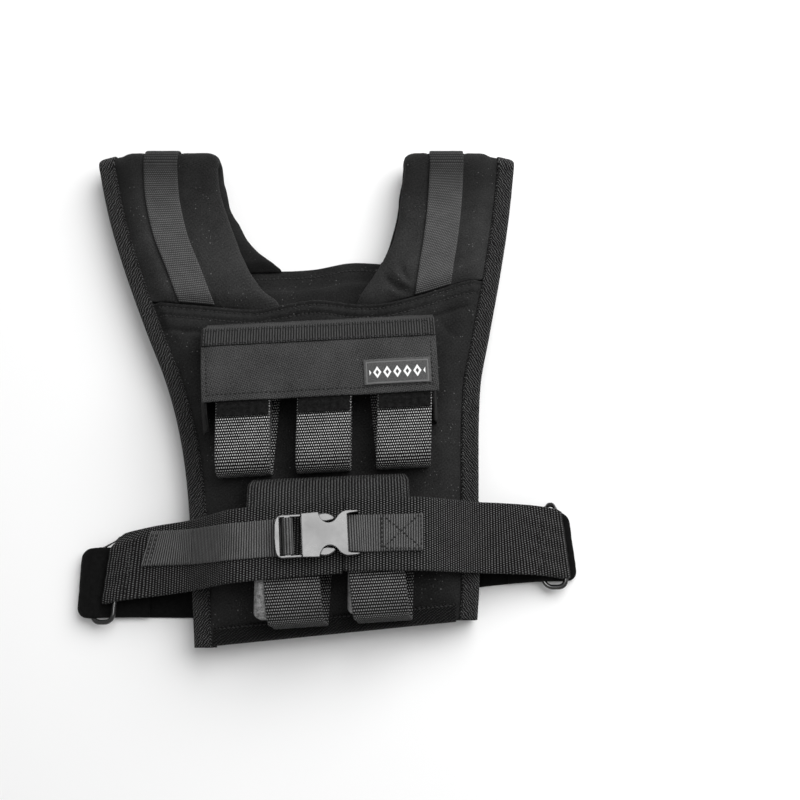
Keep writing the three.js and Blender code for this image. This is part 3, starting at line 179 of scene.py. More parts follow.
def smooth(x, start, end):
    """0 before start, 1 after end, with a soft step between."""
    t = np.clip((x - start) / (end - start), 0, 1)
    return t * t * (3 - 2 * t)


def curve(table):
    """Smooth curve through a table of pairs."""
    keys = np.array([row[0] for row in table], float)
    values = np.array([row[1] for row in table], float)
    before = np.maximum(np.arange(len(keys)) - 1, 0)
    after = np.minimum(np.arange(len(keys)) + 1, len(keys) - 1)
    slopes = (values[after] - values[before]) / (keys[after] - keys[before])

    def at(x):
        x = np.asarray(x, float)
        i = np.clip(np.searchsorted(keys, x, side="right") - 1, 0, len(keys) - 2)
        span = keys[i + 1] - keys[i]
        t = (x - keys[i]) / span
        t2 = t * t
        t3 = t2 * t
        inside = (values[i] * (2 * t3 - 3 * t2 + 1) + slopes[i] * span * (t3 - 2 * t2 + t)
                  + values[i + 1] * (3 * t2 - 2 * t3) + slopes[i + 1] * span * (t3 - t2))
        under = values[i] + slopes[i] * t * span
        over = values[i + 1] + slopes[i + 1] * (t - 1) * span
        return np.where(t < 0, under, np.where(t > 1, over, inside))

    return at


def joined(*parts):
    """Coordinates side by side, as points."""
    return np.stack(np.broadcast_arrays(*parts), axis=-1)


def unit(vectors):
    return vectors / np.maximum(np.linalg.norm(vectors, axis=-1, keepdims=True), 1e-9)


def lengths_along(line):
    return np.concatenate([[0], np.cumsum(np.linalg.norm(np.diff(line, axis=0), axis=1))])


def sampled(line, lengths, places):
    """Points at some places along a line whose length up to each of its own points is given."""
    return np.stack([np.interp(places, lengths, column) for column in line.T], 1)


def loops_of(points, faces):
    return np.vstack([points[face][:, :2] for face in faces])


def outline(table):
    share = curve(table)
    return lambda y: SHOULDER_SPAN * share(np.asarray(y) / BODY_LENGTH)


armhole_left = outline(LEFT_EDGE)
armhole_right = outline(RIGHT_EDGE)


def panel_left(y):
    return armhole_left(y) + BINDING_OUT


def panel_right(y):
    return armhole_right(y) - BINDING_OUT


def cross_line(table):
    along = curve(table)
    middle = BODY_LENGTH * float(along(0.5))
    left = float(panel_left(middle))
    right = float(panel_right(middle))
    return lambda x: BODY_LENGTH * along(np.clip((np.asarray(x) - left) / (right - left), 0, 1))


chest_seam = cross_line(CHEST_SEAM)
back_seam = cross_line(BACK_SEAM)
hem_line = cross_line(HEM)


def ripple(x, y, size, seed):
    """Smooth random height from -1 to 1, with lumps about as wide as size."""
    count = 61
    table = np.random.default_rng(seed).uniform(-1, 1, (count, count))
    u = np.asarray(x) / size
    v = np.asarray(y) / size
    i = np.floor(u).astype(int)
    j = np.floor(v).astype(int)
    s = smooth(u - i, 0, 1)
    t = smooth(v - j, 0, 1)
    near = lerp(table[i % count, j % count], table[(i + 1) % count, j % count], s)
    far = lerp(table[i % count, (j + 1) % count], table[(i + 1) % count, (j + 1) % count], s)
    return lerp(near, far, t)


def crease(x, y, start, end, width, depth):
    """Valley along a line between two points, fading toward its ends."""
    line = np.array(end, float) - np.array(start, float)
    length = np.hypot(*line)
    along = ((x - start[0]) * line[0] + (y - start[1]) * line[1]) / length
    aside = ((x - start[0]) * -line[1] + (y - start[1]) * line[0]) / length
    aside = aside + 0.12 * length * np.sin(math.pi * np.clip(along / length, 0, 1))
    fade = smooth(along, -0.1 * length, 0.3 * length) * (1 - smooth(along, 0.6 * length, 1.1 * length))
    return -depth * fade * np.exp(-(aside / width) ** 2)


# Meshes

def faces_of(rows, cols, wrap):
    """Quads of a grid as row and column numbers, four corners each."""
    wide = cols if wrap else cols - 1
    i, j = np.meshgrid(np.arange(rows - 1), np.arange(wide), indexing="ij")
    i = i.ravel()
    j = j.ravel()
    corner_rows = np.stack([i, i, i + 1, i + 1], 1)
    corner_cols = np.stack([j, j + 1, j + 1, j], 1)
    return corner_rows, corner_cols


def make_object(name, points, faces, loops_uv, material):
    mesh = bpy.data.meshes.new(name)
    mesh.from_pydata(((points + SHIFT) * MM).tolist(), [], faces)
    layer = mesh.uv_layers.new(name="UVMap")
    layer.data.foreach_set("uv", np.asarray(loops_uv, np.float32).ravel())
    mesh.polygons.foreach_set("use_smooth", [True] * len(faces))
    mesh.materials.append(material)
    mesh.validate()
    mesh.update()
    piece = bpy.data.objects.new(name, mesh)
    bpy.context.scene.collection.objects.link(piece)
    return piece


def finish_piece(piece, slot, *nodes):
    """Piece with its faces turned outward, riding on the vest, in place of its solids."""
    bm = bmesh.new()
    bm.from_mesh(piece.data)
    bmesh.ops.recalc_face_normals(bm, faces=bm.faces)
    bm.to_mesh(piece.data)
    bm.free()
    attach(piece, "root")
    if nodes:
        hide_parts(*nodes)


def tube(name, sections, uv, material, closed=False):
    """Solid through closed sections of equal count; uv has one more column than the sections."""
    rows, cols = sections.shape[:2]
    corner_rows, corner_cols = faces_of(rows, cols, True)
    if closed:
        extra = np.arange(cols)
        last = np.full(cols, rows - 1)
        zero = np.zeros(cols, int)
        corner_rows = np.vstack([corner_rows, np.stack([last, last, zero, zero], 1)])
        corner_cols = np.vstack([corner_cols, np.stack([extra, extra + 1, extra + 1, extra], 1)])
    faces = (corner_rows * cols + corner_cols % cols).tolist()
    loops = uv[corner_rows.ravel(), corner_cols.ravel()]
    if not closed:
        faces.append(list(range(cols))[::-1])
        faces.append([(rows - 1) * cols + i for i in range(cols)])
        caps = np.vstack([uv[0, :cols][::-1], uv[-1, :cols]])
        loops = np.vstack([loops, caps])
    return make_object(name, sections.reshape(-1, 3), faces, loops, material)


def normals_of(grid):
    """Unit normals of a grid of points, up where the rows run along +Y and the columns along +X."""
    return unit(np.cross(np.gradient(grid, axis=1), np.gradient(grid, axis=0)))


def shell(name, top, under, uv, material):
    """Solid between two grids, its four edges closed by a rounded rim."""
    rows, cols = top.shape[:2]
    rim = (top + under) / 2
    normal = normals_of(top)
    thick = np.linalg.norm(top - under, axis=2, keepdims=True)
    across = unit(np.gradient(top, axis=1))
    along = np.cross(normal, across)
    sides = [(np.s_[0, :], -along), (np.s_[-1, :], along), (np.s_[:, 0], -across), (np.s_[:, -1], across)]
    for where, direction in sides:
        rim[where] = rim[where] + direction[where] * np.minimum(thick[where] * 0.3, 0.8)
    order = ([(0, j) for j in range(cols)] + [(i, cols - 1) for i in range(1, rows)]
             + [(rows - 1, j) for j in range(cols - 2, -1, -1)] + [(i, 0) for i in range(rows - 2, 0, -1)])
    order = np.array(order)
    count = rows * cols
    points = np.vstack([top.reshape(-1, 3), under.reshape(-1, 3), rim[order[:, 0], order[:, 1]]])
    corner_rows, corner_cols = faces_of(rows, cols, False)
    index = corner_rows * cols + corner_cols
    faces = index.tolist() + (index[:, ::-1] + count).tolist()
    loops = [uv[corner_rows.ravel(), corner_cols.ravel()]] * 2
    edge = order[:, 0] * cols + order[:, 1]
    after = np.roll(edge, -1)
    ring = 2 * count + np.arange(len(edge))
    ring_after = np.roll(ring, -1)
    faces += np.stack([edge, ring, ring_after, after], 1).tolist()
    faces += np.stack([ring, edge + count, after + count, ring_after], 1).tolist()
    edge_uv = uv[order[:, 0], order[:, 1]]
    next_uv = np.roll(edge_uv, -1, axis=0)
    rim_loops = np.stack([edge_uv, edge_uv, next_uv, next_uv], 1).reshape(-1, 2)
    loops += [rim_loops, rim_loops]
    return make_object(name, points, faces, np.vstack(loops), material)


def resample(path, step, soft):
    """Even points along a path, with its corners softened over a length."""
    path = np.asarray(path, float)
    lengths = lengths_along(path)
    fine = max(soft / 6, 0.05)
    dense = sampled(path, lengths, np.linspace(0, lengths[-1], int(lengths[-1] / fine) + 2))
    if soft:
        reach = int(3 * soft / fine)
        weights = np.exp(-0.5 * (np.arange(-reach, reach + 1) * fine / soft) ** 2)
        weights = weights / weights.sum()
        start = 2 * dense[0] - dense[1:reach + 1][::-1]
        end = 2 * dense[-1] - dense[-reach - 1:-1][::-1]
        padded = np.vstack([start, dense, end])
        dense = np.stack([np.convolve(column, weights, mode="valid") for column in padded.T], 1)
    lengths = lengths_along(dense)
    places = np.linspace(0, lengths[-1], int(lengths[-1] / step) + 2)
    return sampled(dense, lengths, places), places


def ribbon(name, path, place, half, wall, material, relief, step=0.5, soft=0.8, columns=9, side=1):
    """Webbing of even thickness along a path in a plane; place(a, z, s) gives its X, Y, Z.

    side is 1 where the outer face lies to the left of the path's direction, and -1 on its right."""
    line, places = resample(path, step, soft)
    tangent = unit(np.gradient(line, axis=0))
    normal = np.stack([-tangent[:, 1], tangent[:, 0]], 1) * side
    edge = wall / 2
    flat = np.linspace(-half + edge, half - edge, columns)
    turn = np.radians([54, 0, -54])
    profile_s = np.concatenate([
        flat, half - edge + edge * np.cos(turn), flat[::-1], -half + edge - edge * np.cos(turn[::-1])])
    profile_h = np.concatenate([
        np.full(columns, edge), edge * np.sin(turn), np.full(columns, -edge), edge * np.sin(turn[::-1])])
    s = np.tile(profile_s, (len(line), 1))
    h = np.tile(profile_h, (len(line), 1))
    on_faces = np.abs(h) > wall * 0.45
    h = h + np.sign(h) * relief(s, places[:, None] + 0 * s) * on_faces
    a = line[:, :1] + normal[:, :1] * h
    z = line[:, 1:] + normal[:, 1:] * h
    bend = math.pi * edge
    girth = np.concatenate([flat, half + edge * (math.pi / 2 - turn), 2 * half + bend - flat,
                            3 * half + bend * 1.5 + turn, [4 * half]])
    return tube(name, place(a, z, s), joined(girth[None, :], places[:, None]), material)


# Stitches: short rounded threads, sunk by a third into the cloth

def stitches(name, rows, material, slot, lift=0.28):
    """One mesh of all the stitches along several rows, each a pair of points and normals."""
    pitch = 3.1
    length = 2.2
    radius = 0.5
    around = np.radians(np.arange(0, 360, 60))[:, None]
    steps = [(-0.5, 0.35), (-0.3, 0.9), (0, 1.12), (0.3, 0.9), (0.5, 0.35)]
    points = []
    faces = []
    for line, normals in rows:
        lengths = lengths_along(line)
        for centre in np.arange(pitch / 2, lengths[-1] - length / 3, pitch):
            spot = sampled(line, lengths, [centre - length / 2, centre, centre + length / 2])
            up = unit(sampled(normals, lengths, [centre])[0])
            along = unit(spot[2] - spot[0])
            aside = unit(np.cross(up, along))
            rings = len(points) + np.arange(len(steps) * len(around)).reshape(len(steps), -1)
            for place, girth in steps:
                middle = spot[1] + along * place * length + up * (lift - radius * 1.8 * abs(place))
                points += list(middle + radius * girth * (aside * np.cos(around) + up * np.sin(around)))
            for ring, after in zip(rings, rings[1:]):
                faces += np.stack([ring, np.roll(ring, -1), np.roll(after, -1), after], 1).tolist()
            faces += [rings[0][::-1].tolist(), rings[-1].tolist()]
    points = np.array(points)
    finish_piece(make_object(name, points, faces, loops_of(points, faces), material), slot)


# Materials: lengths in webbing and cloth are millimetres of their own surface

FABRIC_BUMP = 0.0004
SOCKETS = {"roughness": "Roughness", "sheen": "Sheen Weight", "specular": "Specular IOR Level",
           "metallic": "Metallic"}


def grey(value):
    return (value, value, value, 1)


class Field:
    """Value that varies over a surface. Arithmetic on it makes the nodes."""

    def __init__(self, surface, socket):
        self.surface = surface
        self.socket = socket

    def op(self, operation, *others):
        inputs = dict(enumerate([self, *others]))
        return self.surface.node("ShaderNodeMath", inputs, operation=operation)

    def __add__(self, other):
        return self.op("ADD", other)

    def __sub__(self, other):
        return self.op("SUBTRACT", other)

    def __mul__(self, other):
        return self.op("MULTIPLY", other)

    def __truediv__(self, other):
        return self.op("DIVIDE", other)

    def wave(self):
        """Rounded ridges, one for each whole number."""
        return (self * math.pi).op("SINE").op("ABSOLUTE")


class Surface:
    """Material in the making, laid along a piece's surface, or through its solid if moulded or cast."""

    def __init__(self, name, solid=False):
        self.material = bpy.data.materials.new(name)
        self.material.use_nodes = True
        self.tree = self.material.node_tree
        self.shader = self.tree.nodes["Principled BSDF"]
        if solid:
            self.place = self.node("ShaderNodeTexCoord", {}, "Object")
        else:
            self.place = self.node("ShaderNodeUVMap", {}, uv_map="UVMap")
            self.u = self.node("ShaderNodeSeparateXYZ", {0: self.place}, 0)
            self.v = self.node("ShaderNodeSeparateXYZ", {0: self.place}, 1)

    def put(self, socket, value):
        if isinstance(value, Field):
            self.tree.links.new(value.socket, socket)
        else:
            socket.default_value = value

    def node(self, kind, inputs, output=0, **settings):
        node = self.tree.nodes.new(kind)
        for key, value in settings.items():
            setattr(node, key, value)
        for key, value in inputs.items():
            self.put(node.inputs[key], value)
        return Field(self, node.outputs[output])

    def noise(self, scale, detail=3.0, roughness=0.6):
        return self.node("ShaderNodeTexNoise", {
            "Vector": self.place, "Scale": scale, "Detail": detail, "Roughness": roughness})

    def ramp(self, factor, *stops):
        """Greys between stops of (place, value)."""
        colour = self.node("ShaderNodeValToRGB", {0: factor})
        elements = colour.socket.node.color_ramp.elements
        while len(elements) < len(stops):
            elements.new(0.5)
        for element, (place, value) in zip(elements, stops):
            element.position = place
            element.color = grey(value)
        return colour

    def painted_fold_shade(self, colour, v, share):
        """Colour with painted shade toward the fold of a shoulder strap: it loses a share of its light there.
        """
        shade_factor = self.node("ShaderNodeMapRange", {0: v, 1: FOLD_SHADE_START, 2: FOLD_SHADE_END, 3: 1.0, 4: 1.0 - share},
                         interpolation_type="SMOOTHSTEP")
        return self.node("ShaderNodeVectorMath", {0: colour, "Scale": shade_factor}, operation="SCALE")

    def dressed(self, colour, height=None, strength=1.0, distance=FABRIC_BUMP, **settings):
        """The finished material; the bump's height is a share of a distance in metres."""
        self.put(self.shader.inputs["Base Color"], colour)
        for key, value in settings.items():
            self.put(self.shader.inputs[SOCKETS[key]], value)
        if height:
            bump = self.node("ShaderNodeBump", {"Strength": strength, "Distance": distance, "Height": height})
            self.put(self.shader.inputs["Normal"], bump)
        return self.material


def webbing_material(name, dark, light, rib, bead, depth=0.6, bead_share=0.5, sharp=1.4,
                     swap=False, folds=False):
    """Woven webbing: ribs across it, every rib a row of beads, alternate rows shifted by half a bead."""
    surface = Surface(name)
    u, v = (surface.v, surface.u) if swap else (surface.u, surface.v)
    row = (v + surface.noise(0.35, 2.0) * (rib * 0.3)) / rib
    column = u / bead + row.op("FLOOR") * 0.5
    height = row.wave() * (column.wave() * bead_share + (1 - bead_share))
    worn = surface.noise(0.07, 4.0) * 0.7 + surface.noise(1.1, 3.0, 0.75) * 1.1 + 0.1
    # The colour follows the height of the weave: painted shade in the gaps between ribs and beads, painted
    # highlight on their crests, varied at random by the wear noise
    colour = surface.ramp(height.op("POWER", sharp) * worn,
                          (0.05, dark), (0.5, lerp(dark, light, 0.4)), (1.0, light))
    # Painted shade toward the shoulder fold, where folds is set
    if folds:
        colour = surface.painted_fold_shade(colour, v, 0.78)
    return surface.dressed(colour, height, depth, roughness=0.65, sheen=0.03, specular=0.08)


def cloth_material(name, dark, light, pitch=0.8, depth=0.5, lint=0.775, weave_share=0.13, folds=False):
    """Plain woven cloth with uneven threads, soft wear and a little lint, and its weave painted in as shade
    and highlight.
    """
    surface = Surface(name)
    u, v = surface.u, surface.v
    fuzz = surface.noise(0.9, 4.0, 0.75)
    turns = math.pi / pitch
    weave = ((u + v * 0.6) * turns).op("SINE") * ((v - u * 0.6) * turns).op("SINE")
    mixed = fuzz * 0.85 + surface.noise(0.03, 5.0, 0.65) * 0.4 + weave * weave_share
    # The colour takes the uneven threads' tone at random, and from the weave a painted shade in its hollows
    # and painted highlight where its threads stand high
    colour = surface.ramp(mixed, (0.42, dark), (0.62, lerp(dark, light, 0.45)), (0.85, light))
    # Painted shade toward the shoulder fold, where folds is set
    if folds:
        colour = surface.painted_fold_shade(colour, v, 0.5)
    specks = surface.noise(0.75, 0.0).op("GREATER_THAN", lint)
    clusters = surface.noise(0.045, 2.0).op("GREATER_THAN", 0.54)
    mixing = {0: specks * clusters, 6: colour, 7: grey(0.11)}
    dusted = surface.node("ShaderNodeMix", mixing, 2, data_type="RGBA")
    return surface.dressed(dusted, weave * 0.4 + fuzz * 1.2, depth, roughness=0.9, sheen=0.03, specular=0.05)


def binding_material(name, dark, light):
    """Braided tape: coarse slanted strands, broken up by their own twist."""
    surface = Surface(name)
    folded = surface.u.op("PINGPONG", 13.0)
    phase = (surface.v + folded * 1.5 + surface.noise(0.22, 3.0) * 6.0) / 2.9
    strands = ((surface.v - folded) / 1.9).wave() * 0.7 + 0.3
    rib = phase.wave().op("POWER", 2.2) * strands
    # The colour follows the strands' relief: painted shade between the strands and painted highlight on them,
    # varied at random
    colour = surface.ramp(rib * (surface.noise(0.9, 3.0, 0.7) + 0.35),
                          (0.12, dark), (0.45, lerp(dark, light, 0.35)), (0.9, light))
    return surface.dressed(colour, rib, 1.0, 0.0009, roughness=0.7, sheen=0.03, specular=0.08)


def pile_material(name, dark, light):
    """Hook and loop pile: very dark, with clumps of loops."""
    surface = Surface(name)
    loops = surface.noise(1.6, 2.0)
    # Random tone, with painted shade between the clumps of loops and painted highlight on them
    colour = surface.ramp(surface.noise(0.35, 4.0, 0.75) * (loops + 0.4), (0.3, dark), (0.75, light))
    return surface.dressed(colour, loops, 0.8, 0.0006, roughness=0.95, sheen=0.02, specular=0.1)


def plastic_material(name, value):
    """Moulded plastic with a fine grain and a few handling marks."""
    surface = Surface(name, solid=True)
    marks = surface.noise(60.0, 4.0)
    colour = surface.ramp(marks, (0.3, value * 0.85), (0.7, value * 1.2))
    rough = surface.ramp(marks, (0.3, 0.24), (0.75, 0.36))
    return surface.dressed(colour, surface.noise(900.0, 2.0), 0.08, 0.0002, roughness=rough, specular=0.8)


def iron_material(name):
    """Rough black cast iron: pitted, with worn lighter grains."""
    surface = Surface(name, solid=True)
    grains = surface.noise(420.0, 5.0, 0.7) * 0.6 + surface.noise(1500.0) * 0.4
    colour = surface.ramp(grains, (0.38, 0.03), (0.52, 0.2), (0.7, 0.42))
    return surface.dressed(colour, grains, 0.7, 0.0006, roughness=0.55, metallic=0.3)


def wire_material(name):
    surface = Surface(name, solid=True)
    rough = surface.ramp(surface.noise(300.0), (0.35, 0.1), (0.75, 0.22))
    return surface.dressed(grey(0.06), roughness=rough, metallic=0.85)


def label_material(name):
    """Woven patch: a light border line round a fine ground with a row of small lozenges."""
    surface = Surface(name)
    from_middle = (surface.v - LABEL_DEPTH / 2).op("ABSOLUTE")
    from_side = surface.u.op("ABSOLUTE") * -1 + LABEL_WIDTH / 2
    from_edge = from_middle * -1 + LABEL_DEPTH / 2
    inset = from_side.op("MINIMUM", from_edge)
    border = inset.op("COMPARE", 2.1, 0.45)
    lozenge = (surface.u + 28.0).op("PINGPONG", 3.5) * 0.75 + from_middle * 0.5
    motif = lozenge.op("LESS_THAN", 2.15) * inset.op("GREATER_THAN", 4.0) * lozenge.op("GREATER_THAN", 0.95)
    mixed = (border * 0.45).op("MAXIMUM", motif) * 0.75 + surface.noise(1.2, 3.0, 0.7) * 0.25
    colour = surface.ramp(mixed, (0.07, 0.015), (0.17, 0.1), (0.5, 0.13), (0.85, 0.85))
    return surface.dressed(colour, mixed, 0.5, 0.0003, roughness=0.7, sheen=0.05, specular=0.25)


# Where along a shoulder strap the painted shade toward its fold begins, and where it is full
FOLD_SHADE_START = 62.0
FOLD_SHADE_END = 132.0
BELT_RIB = 2.1
SLING_RIB = 1.95
TAPE_RIB = 1.9
NARROW_RIB = 1.7
PANEL = cloth_material("panel_cloth", 0.003, 0.033)
# folds=True paints shade toward the shoulder fold into the strap cloth
STRAP = cloth_material("strap_cloth", 0.007, 0.052, folds=True)
FLAP = cloth_material("flap_cloth", 0.014, 0.08, pitch=1.0, depth=0.8, lint=0.8, weave_share=0.26)
# folds=True paints shade toward the shoulder fold into the shoulder webbing too
SHOULDER = webbing_material("shoulder_webbing", 0.012, 0.135, 1.5, 1.5, bead_share=0.6, sharp=1.0, folds=True)
# The sling webbing's crests are painted nearly white: painted highlight
SLING = webbing_material("sling_webbing", 0.0015, 0.74, SLING_RIB, 1.6, 0.9, 0.85, 3.3)
# The lower slings' webbing is the sling webbing made darker: painted shade
LOWER_SLING = webbing_material("lower_sling_webbing", 0.0015, 0.36, SLING_RIB, 1.6, 0.9, 0.85, 2.8)
BELT = webbing_material("belt_webbing", 0.001, 0.165, BELT_RIB, 1.55, 1.0, 0.75, 3.3)
LOWER_FLAP = webbing_material("lower_flap_webbing", 0.001, 0.15, BELT_RIB, 1.3, 1.0, 0.75, 2.6, swap=True)
NARROW = webbing_material("narrow_webbing", 0.006, 0.15, NARROW_RIB, 1.1, 0.7, 0.3)
TAPE = webbing_material("flap_tape_webbing", 0.002, 0.066, TAPE_RIB, 1.1, 0.8, 0.45, swap=True)
BINDING = binding_material("binding_tape", 0.001, 0.125)
# The hem tape is the binding tape made darker: painted shade
HEM_BINDING = binding_material("hem_tape", 0.001, 0.03)
# The pocket sides' cloth is the flap cloth made darker: painted shade
SHADED_POCKET_CLOTH = cloth_material("pocket_cloth", 0.003, 0.02)
PILE = pile_material("hook_and_loop", 0.001, 0.016)
# The side straps' pile is the hook and loop pile made darker: painted shade
SIDE_PILE = pile_material("side_strap_pile", 0.001, 0.007)
THREAD = webbing_material("thread", 0.005, 0.07, 0.6, 0.6, 0.3)
DARK_THREAD = webbing_material("dark_thread", 0.002, 0.03, 0.6, 0.6, 0.3)
PLASTIC = plastic_material("moulded_plastic", 0.04)
IRON = iron_material("cast_iron")
WIRE = wire_material("black_wire")
LABEL = label_material("label_cloth")


# Body panels

def rolled(inward):
    """Rise of the padding: 0 on the flat edge under the binding, 1 where the pad is full."""
    t = np.clip((inward - FLANGE) / (EDGE_ROLL - FLANGE), 0, 1)
    return np.sin(t * math.pi / 2) ** 0.85


def panel_places(seam, columns, rows):
    across = np.linspace(0, 1, columns)[None, :]
    along = np.linspace(0, 1, rows)[:, None]
    y = lerp(-BODY_LENGTH / 2, 60, along) + 0 * across
    for _ in range(6):
        x = lerp(panel_left(y), panel_right(y), across)
        y = lerp(hem_line(x) + BINDING_OUT, seam(x), along)
    x = lerp(panel_left(y), panel_right(y), across)
    return x, y


def under_pockets(x, y):
    """1 where a pocket lies on the front panel, 0 clear of them."""
    upper_part = smooth(y, -70, -64) * (1 - smooth(y, 46, 52)) * (1 - smooth(np.abs(x - UPPER_X), 84, 92))
    lower_part = (1 - smooth(y, -66, -60)) * (1 - smooth(np.abs(x), 66, 74))
    return np.maximum(upper_part, lower_part)


def front_panel():
    x, y = panel_places(chest_seam, columns=140, rows=200)
    inward = np.minimum(x - panel_left(y), panel_right(y) - x)
    rise = rolled(inward) * rolled(y - hem_line(x) - BINDING_OUT)
    from_seam = y - chest_seam(x)
    lip = smooth(from_seam, -TUCK - 8, -TUCK - 1.5)
    rise = lerp(rise, smooth(inward, FLANGE, EDGE_ROLL * 0.64), lip)
    high = lerp(FRONT_FLOOR + FLANGE_WALL, lerp(FRONT_TOP, LIP_FLOOR + LIP_WALL, lip), rise)
    low = lerp(FRONT_FLOOR, lerp(FRONT_FLOOR, LIP_FLOOR, lip), rise)
    lumps = 0.45 * ripple(x, y, 27, 3) + 0.22 * ripple(x, y, 11, 4) + 0.1 * ripple(x, y, 5, 5)
    lumps = lumps + crease(x, y, (78, 50), (101, 33), 2.6, 1.5) + crease(x, y, (-112, 46), (-92, 30), 3, 0.9)
    lumps = lumps + crease(x, y, (-104, -70), (-88, -40), 3, 0.8) + crease(x, y, (84, -75), (97, -40), 3, 0.8)
    left_strap = smooth(x, -128, -120) * (1 - smooth(x, -46, -38))
    right_strap = smooth(x, 18, 26) * (1 - smooth(x, 96, 104))
    tucked = left_strap + right_strap
    outline_dip = np.exp(-((from_seam + 19.5 + 0.8 * ripple(x, 0 * x, 9, 8)) / 1.7) ** 2)
    bulge = smooth(from_seam, -19, -14) * (1 - smooth(from_seam, -9, -3))
    lumps = lumps + tucked * (0.9 * bulge - 1.7 * outline_dip)
    for row in CHEST_ROWS:
        lumps = lumps - 1.25 * np.exp(-((from_seam - row) / 1.2) ** 2)
    for row, width in ((-0.5, 1.1), (-5.9, 1.7)):
        lumps = lumps + 0.7 * np.exp(-((from_seam - row) / width) ** 2)
    pucker = np.sin(x * 2 * math.pi / 5.8 + 3 * ripple(x, y, 14, 9))
    lumps = lumps + 0.42 * pucker * smooth(from_seam, -14, -9)
    covered = under_pockets(x, y)
    lumps = lerp(lumps, np.minimum(lumps, 0) * 0.5, covered)
    top = joined(x, y, high + lumps * smooth(inward, FLANGE - 3, FLANGE + 6))
    piece = shell("front_pad", top, joined(x, y, low), joined(x, y), PANEL)
    finish_piece(piece, "panel_cloth", "front_panel")


def back_panel():
    x, y = panel_places(back_seam, columns=84, rows=116)
    inward = np.minimum(x - panel_left(y), panel_right(y) - x)
    rise = rolled(inward) * rolled(y - hem_line(x) - BINDING_OUT)
    from_seam = y - back_seam(x)
    lip = smooth(from_seam, -BACK_TUCK - 8, -BACK_TUCK - 1.5)
    rise = lerp(rise, smooth(inward, FLANGE, EDGE_ROLL * 0.64), lip)
    high = lerp(BACK_FLANGE_FLOOR + FLANGE_WALL, lerp(BACK_PAD, BACK_LIP_TOP, lip), rise)
    low = lerp(BACK_FLANGE_FLOOR, lerp(0, 1, lip), rise)
    lumps = 0.4 * ripple(x, y, 25, 13) + 0.2 * ripple(x, y, 10, 14)
    lumps = lumps - 0.5 * np.exp(-((from_seam - COLLAR_ROW) / 0.9) ** 2)
    lumps = lumps * smooth(inward, FLANGE - 3, FLANGE + 6) * (1 - 0.6 * lip)
    top = joined(x, y, high + np.minimum(lumps, 0.4))
    piece = shell("back_pad", top, joined(x, y, low), joined(x, y), PANEL)
    finish_piece(piece, "panel_cloth", "back_panel")


# Shoulder straps

FRONT = 0
FOLD = 1
BACK = 2
STRAP_ROWS = (30, 82, 36, 44, 22)
STRAP_FREE = TUCK * 0.8
STRAP_RISE_END = FLANGE * 2.2
STRAP_NECK_ROUND = STRAP_PAD * 0.85
ROW_STEP = 1.2


